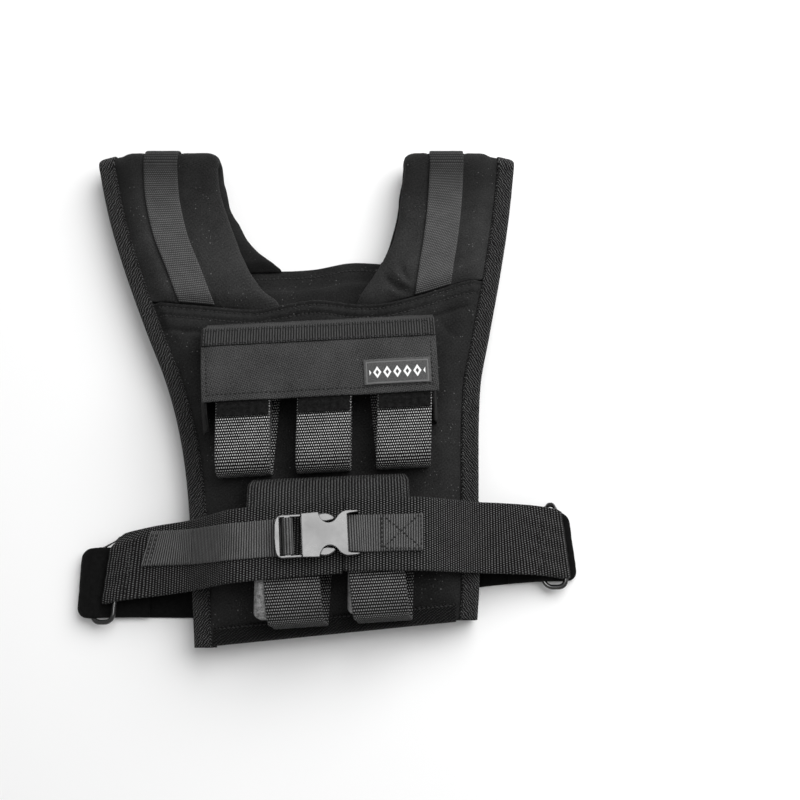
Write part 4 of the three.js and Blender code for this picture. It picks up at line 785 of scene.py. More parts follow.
class Strap:
    """Stations of a shoulder strap, from its front end over the fold to its end at the back."""

    def __init__(self, side):
        self.side = side
        self.edge = panel_left if side < 0 else panel_right
        self.neck_front = outline(LEFT_NECK_FRONT if side < 0 else RIGHT_NECK_FRONT)
        self.neck_back = outline(LEFT_NECK_BACK if side < 0 else RIGHT_NECK_BACK)
        self.webbing = outline(WEBBING_LEFT if side < 0 else WEBBING_RIGHT)
        free = STRAP_FREE
        front_past = np.linspace(-TUCK, free, STRAP_ROWS[0])
        front_share = np.linspace(0, 1, STRAP_ROWS[1])[1:-1]
        angle = np.linspace(0, math.pi, STRAP_ROWS[2])
        back_share = np.linspace(1, 0, STRAP_ROWS[3])[1:-1]
        back_past = np.linspace(free, -0.6, STRAP_ROWS[4])
        counts = [len(front_past), len(front_share), len(angle), len(back_share), len(back_past)]
        layers = [FRONT, FRONT, FOLD, BACK, BACK]
        blank = [np.zeros(count) for count in counts]
        self.layer = np.concatenate([np.full(n, k) for n, k in zip(counts, layers)])[:, None]
        free_part = np.full(sum(counts[1:4]), free)
        turned_part = np.full(sum(counts[3:]), math.pi)
        self.past = np.concatenate([front_past, free_part, back_past])[:, None]
        self.share = np.concatenate([blank[0], front_share, blank[2] + 1, back_share, blank[4]])[:, None]
        self.angle = np.concatenate([blank[0], blank[1], angle, turned_part])[:, None]
        self.turned = self.angle / math.pi
        rise = np.sin(np.clip((self.past - 0.8) / (free - 0.8), 0, 1) * math.pi / 2) ** 0.9
        back_tuck = STRAP_BACK_FLOOR - BACK_LIP_TOP - GAP
        front_high = lerp(TUCK_HEIGHT, STRAP_PAD, rise)
        back_high = lerp(back_tuck, STRAP_BACK_PAD, rise)
        self.high = lerp(front_high, back_high, self.turned)
        back_low = STRAP_BACK_PAD * np.interp(self.past, [-0.6, 1, 6, free], [0.62, 0.5, 0.18, 0])
        self.low = np.where(self.layer == BACK, back_low, 0)
        self.tucked = 1 - smooth(self.past, 0.4, 1.6)
        self.flange = self.turned * (STRAP_BACK_FLOOR - BACK_FLANGE_FLOOR - FLANGE_WALL)

    def cut(self, first, last):
        part = Strap(self.side)
        for key in ("layer", "past", "share", "angle", "turned", "high", "low", "tucked", "flange"):
            setattr(part, key, getattr(self, key)[first:last])
        return part

    def y_of(self, x_at):
        """Y of every station for each place across; x_at(y, turned) gives X."""
        front_seam = chest_seam(x_at(BODY_LENGTH * 0.17, 0.0))
        back_line = back_seam(x_at(BODY_LENGTH * 0.26, 1.0))
        front_y = front_seam + self.past + self.share * (FOLD_Y - front_seam - STRAP_FREE)
        back_y = back_line + self.past + self.share * (FOLD_Y - back_line - STRAP_FREE)
        fold_y = FOLD_Y + (FOLD_RADIUS + FLANGE_WALL / 2) * np.sin(self.angle)
        return np.where(self.layer == FRONT, front_y, np.where(self.layer == BACK, back_y, fold_y))

    def lift(self, x, y, height):
        """Point at a height out from the inner face of the fold."""
        radius = FOLD_RADIUS + height
        fold_y = FOLD_Y + radius * np.sin(self.angle)
        fold_z = FOLD_HEIGHT + radius * np.cos(self.angle)
        out_y = np.where(self.layer == FOLD, fold_y, y)
        flat_z = np.where(self.layer == FRONT, FRONT_FLOOR + height, STRAP_BACK_FLOOR - height)
        return joined(x, out_y, np.where(self.layer == FOLD, fold_z, flat_z))

    def fold_lift(self, inward):
        """Rise of the flat edge over the fold, where the edge is drawn up toward the pad."""
        return np.sin(self.angle) ** 0.6 * 0.24 * np.clip(inward, 0, 26)

    def run(self):
        """Distance along the strap at each station, for its weave."""
        steps = np.where(self.layer == FOLD, 0.9, ROW_STEP)
        return np.cumsum(steps, axis=0)


def strap_crease(x, y):
    """Folded corner low on the right strap, beside the neck."""
    return (crease(x, y, (38, 83), (60, 70), 2.6, 3.2) + crease(x, y, (52, 92), (61, 74), 2.0, 2.2)
            - crease(x, y, (45, 88), (60, 75), 2.6, 2.0))


def shoulder_strap(side, word):
    strap = Strap(side)
    c = np.linspace(0, 1, 64)[None, :]
    c = lerp(c, 1 - (1 - c) ** 1.7, 0.35)

    def x_at(y, turned):
        neck = lerp(strap.neck_front(y), strap.neck_back(y), turned)
        return lerp(strap.edge(y), neck, c)

    y = strap.y_of(x_at)
    outer = strap.edge(y)
    neck = lerp(strap.neck_front(y), strap.neck_back(y), strap.turned)
    width = np.abs(neck - outer)
    from_outer = width * c
    from_neck = width * (1 - c)
    start = lerp(outer, outer - side * 20, strap.tucked)
    x = lerp(start, neck, c)
    rise = np.sin(np.clip((from_outer - FLANGE) / (STRAP_RISE_END - FLANGE), 0, 1) * math.pi / 2) ** 0.9
    round_over = np.sqrt(np.clip(1 - (1 - np.clip(from_neck / STRAP_NECK_ROUND, 0, 1)) ** 2.4, 0, 1))
    round_under = 1 - np.sqrt(np.clip(1 - (1 - np.clip(from_neck / (STRAP_PAD * 0.7), 0, 1)) ** 2, 0, 1))
    edge_high = np.where(strap.tucked > 0.5, np.minimum(strap.flange + FLANGE_WALL, strap.high),
                         strap.flange + FLANGE_WALL)
    low = lerp(strap.flange, strap.low, rise)
    high = lerp(edge_high, strap.high, rise)
    over = lerp(low, high, lerp(0.5, 1, round_over))
    drawn_up = np.minimum(strap.flange + FLANGE_WALL + strap.fold_lift(from_outer), strap.high)
    over = np.where(from_neck < STRAP_NECK_ROUND * 1.2, over, np.maximum(over, drawn_up))
    under = lerp(low, high, 0.36 * round_under)
    run = strap.run()
    seed = 21 if side < 0 else 31
    lumps = (0.35 * ripple(x, run, 22, seed) + 0.2 * ripple(x, run, 8, seed + 1)
             + 0.08 * ripple(x, run, 3.5, seed + 2))
    if side > 0:
        lumps = lumps + strap_crease(x, y) * (strap.layer == FRONT)
    beside = np.abs(x - strap.webbing(y))
    lumps = lerp(lumps, -0.25, 1 - smooth(beside, 13, 17))
    lumps = lumps - 0.35 * np.exp(-((beside - 14.2) / 1.2) ** 2)
    waves = 0.8 * ripple(run, 0 * run, 15, seed + 3) + 0.35 * ripple(run, 0 * run, 6, seed + 4)
    x = x + side * waves * (1 - smooth(from_neck, 0, 9)) * (1 - strap.tucked)
    shown = (1 - strap.tucked) * smooth(from_outer, FLANGE, FLANGE + 6)
    over = over + lumps * shown * lerp(1, 0.4, strap.turned)
    piece = shell(f"strap_pad_{word}", strap.lift(x, y, over), strap.lift(x, y, under), joined(x, run), STRAP)
    finish_piece(piece, "strap_cloth", f"shoulder_strap_{word}")


def shoulder_webbing(side, word):
    whole = Strap(side)
    first = int(np.argmax(whole.past[:, 0] > 1.2))
    last = len(whole.past) - int(np.argmax(whole.past[::-1, 0] > 6.5))
    strap = whole.cut(first, last)
    s = np.linspace(-WEBBING_NARROW / 2, WEBBING_NARROW / 2, 27)[None, :]
    y = strap.y_of(lambda at, turned: strap.webbing(at) + s)
    x = strap.webbing(y) + s
    run = strap.run()
    rounded = 0.25 * smooth(np.abs(s), WEBBING_NARROW / 2 - 1.2, WEBBING_NARROW / 2)
    steep = (1 - smooth(strap.past, 6, 12)) * (strap.layer == FRONT)
    lift = strap.high + EDGE_GAP * (1 + steep) - 0.25
    ribs = 0.07 * np.cos(run * 2 * math.pi / 2.5) + 0.06 * ripple(s, run, 6, 41)
    top = strap.lift(x, y, lift + NARROW_WALL - rounded + ribs)
    under = strap.lift(x, y, lift + rounded)
    piece = shell(f"webbing_{word}", top, under, joined(s, run), SHOULDER)
    finish_piece(piece, "light_webbing", f"shoulder_webbing_{word}")


# Bindings

BINDING_ROWS = 190
BINDING_TURN = 24


def binding_profile():
    """Section of the tape round an edge as (inward, height), and the place of each point across the tape."""
    low = -GAP - BINDING_WALL / 2
    high = FLANGE_WALL + GAP + BINDING_WALL / 2
    bend = -EDGE_GAP - BINDING_WALL / 2
    line, places = resample([
        (BINDING_WIDTH, low), (0.6, low), (bend, low + 1.2), (bend, high - 1.2), (0.6, high),
        (BINDING_WIDTH, high)], 1.0, 0.45)
    tangent = unit(np.gradient(line, axis=0))
    half = BINDING_WALL / 2 * np.stack([-tangent[:, 1], tangent[:, 0]], 1)
    thin = np.minimum(1, np.minimum(places, places[-1] - places) / 0.5 + 0.35)[:, None]
    crown = 1 + 0.25 * np.sin(np.clip((places - places[-1] + BINDING_WIDTH) / BINDING_WIDTH, 0, 1) * math.pi)
    outside = line - half * thin * crown[:, None]
    inside = line + half * thin
    section = np.vstack([outside, inside[::-1]])
    across = np.concatenate([places, places[::-1], places[:1]])
    return section, across


def side_binding(side, word):
    edge = panel_left if side < 0 else panel_right
    section, across = binding_profile()
    hem = float(hem_line(edge(-BODY_LENGTH / 2)))
    straight = np.linspace(hem, FOLD_Y, BINDING_ROWS)
    turn = np.linspace(0, math.pi, BINDING_TURN + 2)[1:-1]
    strap = Strap(side).cut(0, 0)
    counts = (BINDING_ROWS, BINDING_TURN, BINDING_ROWS)
    strap.layer = np.repeat([FRONT, FOLD, BACK], counts)[:, None]
    strap.angle = np.concatenate([0 * straight, turn, 0 * straight + math.pi])[:, None]
    strap.flange = strap.angle / math.pi * (STRAP_BACK_FLOOR - BACK_FLANGE_FLOOR - FLANGE_WALL)
    fold_y = FOLD_Y + (FOLD_RADIUS + FLANGE_WALL / 2) * np.sin(strap.angle[:, 0])
    turned_y = fold_y[BINDING_ROWS:BINDING_ROWS + BINDING_TURN]
    y = np.concatenate([straight, turned_y, straight[::-1]])[:, None]
    run = np.cumsum(np.concatenate([[0], np.abs(np.diff(y[:, 0])) + 0.3]))[:, None]
    x = edge(y) - side * section[None, :, 0]
    wobble = 0.12 * ripple(run, section[None, :, 0], 7, 51)
    upper_leg = smooth(section[None, :, 1], 0.5, 2.5)
    rise = strap.fold_lift(section[None, :, 0]) * upper_leg
    points = strap.lift(x, y, strap.flange + section[None, :, 1] + wobble + rise)
    piece = tube(f"binding_{word}", points, joined(across[None, :], run), BINDING)
    finish_piece(piece, "binding_tape", f"side_binding_{word}")


def hem_binding(word, floor):
    section, across = binding_profile()
    left = float(panel_left(-BODY_LENGTH / 2)) + FLANGE + GAP
    right = float(panel_right(-BODY_LENGTH / 2)) - FLANGE - GAP
    x = np.linspace(left, right, 170)[:, None]
    y = hem_line(x) + BINDING_OUT + section[None, :, 0]
    points = joined(x, y, floor + section[None, :, 1] + 0.12 * ripple(x, y, 6, 52))
    piece = tube(f"binding_hem_{word}", points, joined(across[None, :], x), HEM_BINDING)
    finish_piece(piece, "binding_tape", f"hem_binding_{word}")


# Weights and slings

def turned_at(x, y, at, angle):
    cosine = math.cos(angle)
    sine = math.sin(angle)
    return at[0] + x * cosine - y * sine, at[1] + x * sine + y * cosine


def pocket_rows():
    rows = []
    for i, (column, front, turn, back) in enumerate(UPPER_SLINGS):
        x, y = turned_at(column * WEIGHT_PITCH, UPPER_WEIGHT_END, (UPPER_X, 0), UPPER_TURN)
        rows.append((i + 1, x, y, front, turn, back))
    for i, (x, end, front, turn, back) in enumerate(LOWER_SLINGS):
        rows.append((i + 4, x * SHOULDER_SPAN, end * BODY_LENGTH, front, turn, back))
    return rows


def rounded_outline(half_width, half_length, radius, steps):
    corners = [(1, 1, 0), (-1, 1, 90), (-1, -1, 180), (1, -1, 270)]
    points = []
    for sx, sy, start in corners:
        for angle in np.radians(np.linspace(start, start + 90, steps + 1)):
            points.append((sx * (half_width - radius) + radius * math.cos(angle),
                           sy * (half_length - radius) + radius * math.sin(angle)))
    return np.array(points)


DROOP = 4.5
DROOP_LENGTH = 17


def drooped(a, z):
    """Height near the lower end of a weight, where its face and the sling over it slope away."""
    near = np.clip(1 - a / DROOP_LENGTH, 0, 1.15)
    return z - DROOP * near ** 2 * (z - FRONT_TOP) / (WEIGHT_TOP - FRONT_TOP)


def cast_weight(number, x, y):
    edge = WEIGHT_EDGE * 1.4
    foot = 0.8
    arc = np.radians(np.linspace(0, 90, 9))
    rows = [(foot * (1 - math.sin(a)), foot * (1 - math.cos(a))) for a in arc[::-2]]
    rows += [(0, height) for height in np.linspace(2, WEIGHT_HEIGHT - edge, 9)]
    rows += [(edge * (1 - math.cos(a)), WEIGHT_HEIGHT - edge * (1 - math.sin(a))) for a in arc]
    sections = []
    for inset, height in rows:
        inset = inset + height / WEIGHT_HEIGHT
        corner = 5 - min(inset, 3.5) * 0.6
        ring = rounded_outline(WEIGHT_WIDTH / 2 - inset, WEIGHT_LENGTH / 2 - inset, corner, 8)
        ring_x = x + ring[:, 0]
        ring_y = y + ring[:, 1] + WEIGHT_LENGTH / 2
        rough = (0.12 * ripple(ring_x + height, ring_y, 4, number)
                 + 0.08 * ripple(ring_x, ring_y + height, 1.6, number + 60))
        sections.append(joined(ring_x + rough, ring_y + rough, drooped(ring_y - y, WEIGHT_FLOOR + height)))
    sections = np.array(sections)
    uv = np.zeros((len(sections), sections.shape[1] + 1, 2))
    finish_piece(tube(f"weight_{number}_cast", sections, uv, IRON), "cast_iron", f"weight_{number}")


SLING_BEHIND = FRONT_TOP + GAP + WEBBING_WALL / 2
SLING_BEFORE = WEIGHT_TOP + GAP + WEBBING_WALL / 2
SLANT_REACH = 2


def arc_points(x, y, radius, start, end, steps):
    angles = np.radians(np.linspace(start, end, steps + 1))
    return [(x + radius * math.cos(a), y + radius * math.sin(a)) for a in angles]


def full_bend(x0, x1, z0, z1):
    """Bend from upright at x0 to level at z1, fuller than an ellipse."""
    rows = []
    for angle in np.radians(np.linspace(0, 90, 12)):
        across = math.cos(angle) ** (2 / 2.7)
        up = math.sin(angle) ** (2 / 2.7)
        rows.append((x1 - (x1 - x0) * across, z0 + (z1 - z0) * up))
    return rows


def slanted_sling_path():
    """Sling whose lower end stands off the weight and slopes down to the panel."""
    low = WEBBING_WALL * 1.4
    return ([(WEIGHT_LENGTH * 0.9, SLING_BEHIND), (WEIGHT_LENGTH * 0.1, SLING_BEHIND)]
            + arc_points(-SLANT_REACH, SLING_BEHIND + low, low, -90, -190, 6)
            + [(-1.6, SLING_BEFORE - 5.5), (0.6, SLING_BEFORE - 2.3), (3.5, SLING_BEFORE - 0.6)]
            + [(a, SLING_BEFORE) for a in (8, WEIGHT_LENGTH * 0.3, WEIGHT_LENGTH * 0.8)])


def sling_path():
    wrap = WEBBING_WALL / 2 + 2.5 * GAP
    low = WEBBING_WALL * 1.6
    return ([(WEIGHT_LENGTH * 0.9, SLING_BEHIND), (WEIGHT_LENGTH * 0.3, SLING_BEHIND)]
            + arc_points(low - wrap, SLING_BEHIND + low, low, -90, -180, 6)
            + full_bend(-wrap - 0.9, 6.5, SLING_BEFORE - 13, SLING_BEFORE)
            + [(WEIGHT_LENGTH * 0.3, SLING_BEFORE), (WEIGHT_LENGTH * 0.8, SLING_BEFORE)])


def sling(number, x, y, front, turn, back):
    middle = (SLING_BEHIND + SLING_BEFORE) / 2
    upper = number <= len(UPPER_SLINGS)
    tilt = math.tan(UPPER_TURN) if upper else 0.065

    def place(a, z, s):
        share = np.maximum(a, 0) / WEIGHT_LENGTH
        shift = np.where(z > middle, lerp(turn, front, share), lerp(turn, back, share))
        if not upper:
            shift = shift + 2.6 * smooth(z, SLING_BEFORE - 2, SLING_BEHIND + 5)
        return joined(x + shift + s, y + a + s * tilt, drooped(a, z))

    def ribs(s, along):
        wave = 0.5 - 0.5 * np.cos(along * 2 * math.pi / SLING_RIB)
        return 0.16 * wave - 0.1 + 0.06 * ripple(s + 40, along, 5, 70 + number)

    path, material = (sling_path(), SLING) if upper else (slanted_sling_path(), LOWER_SLING)
    piece = ribbon(f"sling_{number}_webbing", path, place, WEBBING_MEDIUM / 2, WEBBING_WALL,
                   material, ribs, step=0.55, soft=0.5, columns=15)
    finish_piece(piece, "sling_webbing", f"sling_{number}")


def sling_patch(number, x, y, front, turn):
    rows = np.linspace(0.53, 0.78, 30)[:, None]
    half = WEBBING_MEDIUM / 2 - TRIM_WALL
    s = np.linspace(-half, half, 60)[None, :]
    px = x + lerp(turn, front, rows) + s
    py = y + WEIGHT_LENGTH * rows + s * math.tan(UPPER_TURN)
    edge = smooth(half - np.abs(s), 2.6, 3.4)
    loops = edge * (0.25 * ripple(px, py, 2.6, 80 + number)
                    + 0.18 * np.sin(py * 1.9 + 1.5 * ripple(px, py, 5, 81)))
    top = joined(px, py, SLING_TOP + GAP + TRIM_WALL * lerp(0.7, 1, edge) + np.minimum(loops, 0.12))
    piece = shell(f"patch_{number}", top, joined(px, py, SLING_TOP + GAP), joined(s, py - y), PILE)
    finish_piece(piece, "hook_and_loop", f"sling_patch_{number}")


# Flaps

FLAP_LOW = FRONT_TOP + GAP + CLOTH_WALL / 2
FLAP_HIGH = FLAP_TOP - CLOTH_WALL / 2
FLAP_PATH = [(FLAP_START - forward * FLAP_DEPTH, lerp(FLAP_LOW, FLAP_HIGH, height))
             for forward, height in [(0.08, 0)] + FLAP_SECTION[1:]]


def flap_sag(x, y):
    """Drop of the flap between the weights and past its ends."""
    over_weights = smooth(y, FLAP_START - FLAP_DEPTH * 0.25, FLAP_START - FLAP_DEPTH * 0.6)
    column = np.abs(x / WEIGHT_PITCH - np.round(np.clip(x / WEIGHT_PITCH, -1, 1))) * WEIGHT_PITCH
    between = smooth(column, WEIGHT_WIDTH / 2 - 3, WEIGHT_WIDTH / 2 + 8)
    free_edge = smooth(y, FLAP_START - FLAP_DEPTH * 0.8, FLAP_START - FLAP_DEPTH)
    return over_weights * between * (1.0 + 0.8 * free_edge) + 0.25 * free_edge


def flap_place(a, z, s):
    wave = 0.3 * ripple(s, a, 16, 90) * smooth(a, FLAP_START - 2, FLAP_START - 12)
    x, y = turned_at(s, a, (UPPER_X, 0), UPPER_TURN)
    return joined(x, y, z - flap_sag(s, a) + np.minimum(wave, 0))


def upper_flap():
    def relief(s, along):
        hem = smooth(along, 77.5, 79) * 0.3
        return hem + 0.3 * ripple(s, along, 13, 91) + 0.14 * ripple(s, along, 5, 92)

    piece = ribbon("flap_cloth_cover", FLAP_PATH, flap_place, FLAP_WIDTH / 2, CLOTH_WALL, FLAP, relief,
                   step=1.0, soft=1.4, columns=100, side=-1)
    finish_piece(piece, "flap_cloth", "flap_upper")


def trim_path(start, width):
    """Part of the flap's path, raised to where a tape or patch lies on the cloth."""
    line, _ = resample(FLAP_PATH, 0.5, 1.4)
    tangent = unit(np.gradient(line, axis=0))
    raise_by = CLOTH_WALL / 2 + TRIM_WALL / 2 + 0.2
    line = line + np.stack([tangent[:, 1], -tangent[:, 0]], 1) * raise_by
    inside = (line[:, 0] <= start) & (line[:, 0] >= start - width)
    return line[inside]


def flap_tape():
    path = trim_path(FLAP_START - FLAP_DEPTH * 0.2, FLAP_TAPE_WIDTH)

    def relief(s, along):
        ribs = 0.1 * np.cos(s * 2 * math.pi / TAPE_RIB) + 0.12 * ripple(s, along, 5, 93)
        ends = 0.45 * smooth(np.abs(s), FLAP_WIDTH / 2 - 6.4, FLAP_WIDTH / 2 - 5.8)
        return ribs + ends

    piece = ribbon("flap_tape_webbing", path, flap_place, FLAP_WIDTH / 2, TRIM_WALL, TAPE, relief,
                   step=0.9, soft=0, columns=330, side=-1)
    finish_piece(piece, "binding_tape", "flap_tape")


def label():
    middle = FLAP_WIDTH / 2 - 5 - LABEL_WIDTH / 2

    def place(a, z, s):
        return flap_place(a, z, s + middle)

    def relief(s, along):
        return 0.05 * ripple(s, along, 3, 95)

    path = trim_path(FLAP_START - FLAP_DEPTH * 0.64, LABEL_DEPTH)
    piece = ribbon("label_woven", path, place, LABEL_WIDTH / 2, TRIM_WALL, LABEL, relief,
                   step=0.6, soft=0, columns=70, side=-1)
    finish_piece(piece, "label_cloth", "label_patch")


def pocket_side(side, word):
    table = [(0.19, 0.4), (0.31, 0.66), (0.54, 0.88), (0.84, 0.92), (1, 0.9)]
    places = [FLAP_START - forward * FLAP_DEPTH for forward, _ in table]
    places += [FLAP_START - FLAP_DEPTH - POCKET_SIDE_REACH * share for share in (0.5, 1)]
    heights = [height for _, height in table] + [0.8, 0.52]
    y = np.linspace(places[0], places[-1], 90)[:, None]
    height = np.interp(-y, [-place for place in places], heights)
    share = np.linspace(0, 1, 46)[None, :]
    foot = side * (FLAP_WIDTH / 2 + CLOTH_WALL)
    low_z = FRONT_TOP + GAP
    z = low_z + share * height * (FLAP_HIGH - low_z)
    folds = 0.7 * ripple(y, z, 13, 100 + side) * np.sin(math.pi * share)
    inset, lean, loose = (0, 5, 1) if side < 0 else (4.5, 2, 0.4)
    x = foot - side * (inset + lean * share * share) + folds * loose
    faces = [joined(*turned_at(x + side * wall, y, (UPPER_X, 0), UPPER_TURN), z) for wall in (CLOTH_WALL, 0)]
    # Its cloth is the flap cloth with painted shade
    piece = shell(f"pocket_cloth_{word}", *faces, joined(z, y), SHADED_POCKET_CLOTH)
    finish_piece(piece, "flap_cloth", f"pocket_side_{word}")


def lower_flap():
    low_z = FRONT_TOP + 2 * GAP + BELT_WALL / 2
    high_z = LOWER_FLAP_TOP - BELT_WALL / 2
    path = [(-forward * WEBBING_WIDE, lerp(low_z, high_z, height)) for forward, height in LOWER_FLAP_SECTION]
    half = LOWER_FLAP_WIDTH / 2

    def place(a, z, s):
        near_top = smooth(a, -6, 0)
        s = s * (1 - 0.035 * near_top * smooth(np.abs(s), half - 8, half))
        sag = 0.7 * smooth(a, -12, -24) * (1 - smooth(np.abs(s), 3, 12))
        x, y = turned_at(s, a, LOWER_FLAP_AT, LOWER_FLAP_TURN)
        return joined(x, y, z - sag)

    def relief(s, along):
        return 0.22 * np.abs(np.sin(s * math.pi / BELT_RIB)) - 0.15

    piece = ribbon("lower_flap_webbing", path, place, half, BELT_WALL, LOWER_FLAP, relief,
                   step=1.1, soft=1.2, columns=260, side=-1)
    finish_piece(piece, "webbing", "flap_lower")


# Belt, rings and side straps

WIRE_RADIUS = RING_WIRE / 2
RING_LEFT = {"side": -1, "held": -0.422, "drop": 3, "y": -0.372, "lean": 0.06, "belt_lean": 0.1,
             "tip": 0.5, "tip_lean": 0.4, "pinch": 0.75}
RING_RIGHT = {"side": 1, "held": 0.465, "drop": 4, "y": -0.306, "lean": -0.11, "belt_lean": -0.11,
              "tip": 0.4925, "tip_lean": 1, "pinch": 0.55}
BELT_LINE_LEFT = curve([(-0.44, -0.356), (-0.4, -0.345), (-0.28, -0.33), (-0.158, -0.315), (0.035, -0.299)])
BELT_LINE_RIGHT = curve([(0.035, -0.295), (0.3, -0.2945), (0.41, -0.297), (0.48, -0.305)])
SIDE_LINE_LEFT = curve([(-0.5, -0.377), (-0.4, -0.375), (-0.26, -0.376)])
SIDE_LINE_RIGHT = curve([(0.26, -0.322), (0.4, -0.308), (0.5, -0.306)])
BELT_END_WIDTH = 48
FOLD_OF_BELT = WIRE_RADIUS + GAP + BELT_WALL / 2
BELT_JOIN = 0.035 * BELT_SPAN


def lean_at(ring, x, y, key="lean"):
    fade = np.clip((np.abs(x) - BELT_SPAN * 0.33) / (BELT_SPAN * 0.07), 0, 1)
    return ring[key] * (y - ring["y"] * BODY_LENGTH) * fade


def ring_wire(ring, word):
    held = ring["held"] * BELT_SPAN
    free = held - RING_WIDTH
    middle = (held + free) / 2
    length = GATHERED_WIDTH + 2 * RING_CORNER + 3
    path = rounded_outline(RING_WIDTH / 2, length / 2, RING_CORNER, 10)
    after = np.roll(path, -1, axis=0)
    before = np.roll(path, 1, axis=0)
    along = unit(after - before)
    angle = np.linspace(0, 2 * math.pi, 17)[None, :-1]
    x = middle + path[:, :1] + along[:, 1:] * WIRE_RADIUS * np.cos(angle)
    y = ring["y"] * BODY_LENGTH + path[:, 1:] - along[:, :1] * WIRE_RADIUS * np.cos(angle)
    drop = ring["drop"] * np.clip((middle + path[:, :1] - held) / (free - held), 0, 1)
    z = RING_HEIGHT - drop + WIRE_RADIUS * np.sin(angle)
    upper = smooth(y, ring["y"] * BODY_LENGTH + 20, ring["y"] * BODY_LENGTH + length / 2 + 1)
    x = lerp(x, held, ring["pinch"] * upper)
    x = x + lean_at(ring, x, y)
    sections = joined(x, y, z)
    uv = np.zeros((len(sections) + 1, sections.shape[1] + 1, 2))
    piece = tube(f"ring_{word}_wire", sections, uv, WIRE, closed=True)
    finish_piece(piece, "black_wire", f"ring_{word}")


def gathered(ring, x):
    """Width of the belt as a share of the webbing's, drawn in where it folds round the ring."""
    held = abs(ring["held"]) * BELT_SPAN
    near = smooth(np.abs(x), held - 1, held + 3)
    return lerp(1, BELT_END_WIDTH / WEBBING_WIDE, near)


def belt_path(ring, edge_x, rest_x):
    out = ring["side"]
    held = ring["held"] * BELT_SPAN
    top = RING_HEIGHT + FOLD_OF_BELT
    edge_z = BINDING_TOP + SEW_GAP + BELT_WALL
    slope = (edge_z - top) / abs(edge_x - held)
    tail_gap = (BELT_WALL + GAP) * math.hypot(1, slope)
    tail_end = held - out * 0.047 * BELT_SPAN
    meet = held - out * FOLD_OF_BELT * 2.9
    fold = [(held + out * (x - held), z)
            for x, z in arc_points(held, RING_HEIGHT, FOLD_OF_BELT, -130, 90, 16)]
    tail = [(x, top + slope * abs(held - x) - tail_gap) for x in (tail_end, meet)]
    return tail + fold, [fold[-1], (edge_x, edge_z), (rest_x, BELT_MID), (BELT_JOIN, BELT_MID)]


def rounded_path(path, reach, steps=6):
    """Path with each inner corner replaced by a short curve."""
    path = np.asarray(path, float)
    points = [path[0]]
    for last, corner, following in zip(path, path[1:], path[2:]):
        ends = []
        for step in (last - corner, following - corner):
            length = np.linalg.norm(step)
            ends.append(corner + step / length * min(reach, length / 2))
        for t in np.linspace(0, 1, steps + 1):
            points.append(ends[0] * (1 - t) ** 2 + 2 * corner * t * (1 - t) + ends[1] * t * t)
    return np.array(points + [path[-1]])


def belt(ring, line, word, edge_x, rest_x):
    tail, over = belt_path(ring, edge_x, rest_x)
    run = rounded_path(over, 9)
    path = np.vstack([np.array(tail), run[1:]])
    out = ring["side"]
    path[-1, 0] += out * GAP

    def place(a, z, s):
        y = BODY_LENGTH * line(a / BELT_SPAN) + s * gathered(ring, a)
        near_ring = smooth(np.abs(a), BELT_SPAN * 0.34, BELT_SPAN * 0.41)
        folds = near_ring * 0.5 * np.sin(s * 2 * math.pi / 11 + np.abs(a) * 0.12)
        sag = 0.4 * ripple(a, s, 19, 110)
        level = smooth(z, 40, 58)
        x = a + lean_at(ring, a, y, "belt_lean")
        if out < 0:
            x = x - 5.0 * near_ring + 6.0 * smooth(s, 14, 25) ** 1.5 * near_ring
        return joined(x, y, z + folds + np.minimum(sag, 0) * level)

    def relief(s, along):
        rib = 0.2 * np.abs(np.sin(along * math.pi / BELT_RIB)) - 0.12
        return rib + 0.05 * ripple(s, along, 7, 111)

    piece = ribbon(f"belt_{word}_webbing", path, place, WEBBING_WIDE / 2, BELT_WALL, BELT, relief,
                   step=0.55, soft=0.9, columns=21, side=-out)
    finish_piece(piece, "webbing", f"belt_{word}")
    return run


def side_strap_path(ring, start):
    out = ring["side"]
    free = ring["held"] * BELT_SPAN - RING_WIDTH
    free_z = RING_HEIGHT - ring["drop"]
    low = SEW_GAP + HOOK_STRAP_WALL / 2
    back = low + HOOK_STRAP_WALL + 4 * GAP
    over = WIRE_RADIUS + 1.5 * GAP + HOOK_STRAP_WALL / 2
    direct = out == -1
    arriving = free_z + over if direct else back
    radius = (arriving - low) / 2
    turn_x = out * (ring["tip"] * BELT_SPAN - radius - HOOK_STRAP_WALL / 2)
    first = [(turn_x + out * x, z) for x, z in arc_points(0, low + radius, radius, -90, 90, 10)]
    second = [(free + out * x, z) for x, z in arc_points(0, free_z, over, 75 if direct else 35, 150, 9)]
    before = [] if direct else [(free + out * (over + 4), back + 0.3)]
    end = out * min(abs(free) - over - 10, 0.357 * BELT_SPAN)
    return ([(start, low)] + first + before + second
            + [(free - out * (over + 4), back + 0.6), (free - out * (over + 8), back), (end, back)])


TIP_ROUND = 8


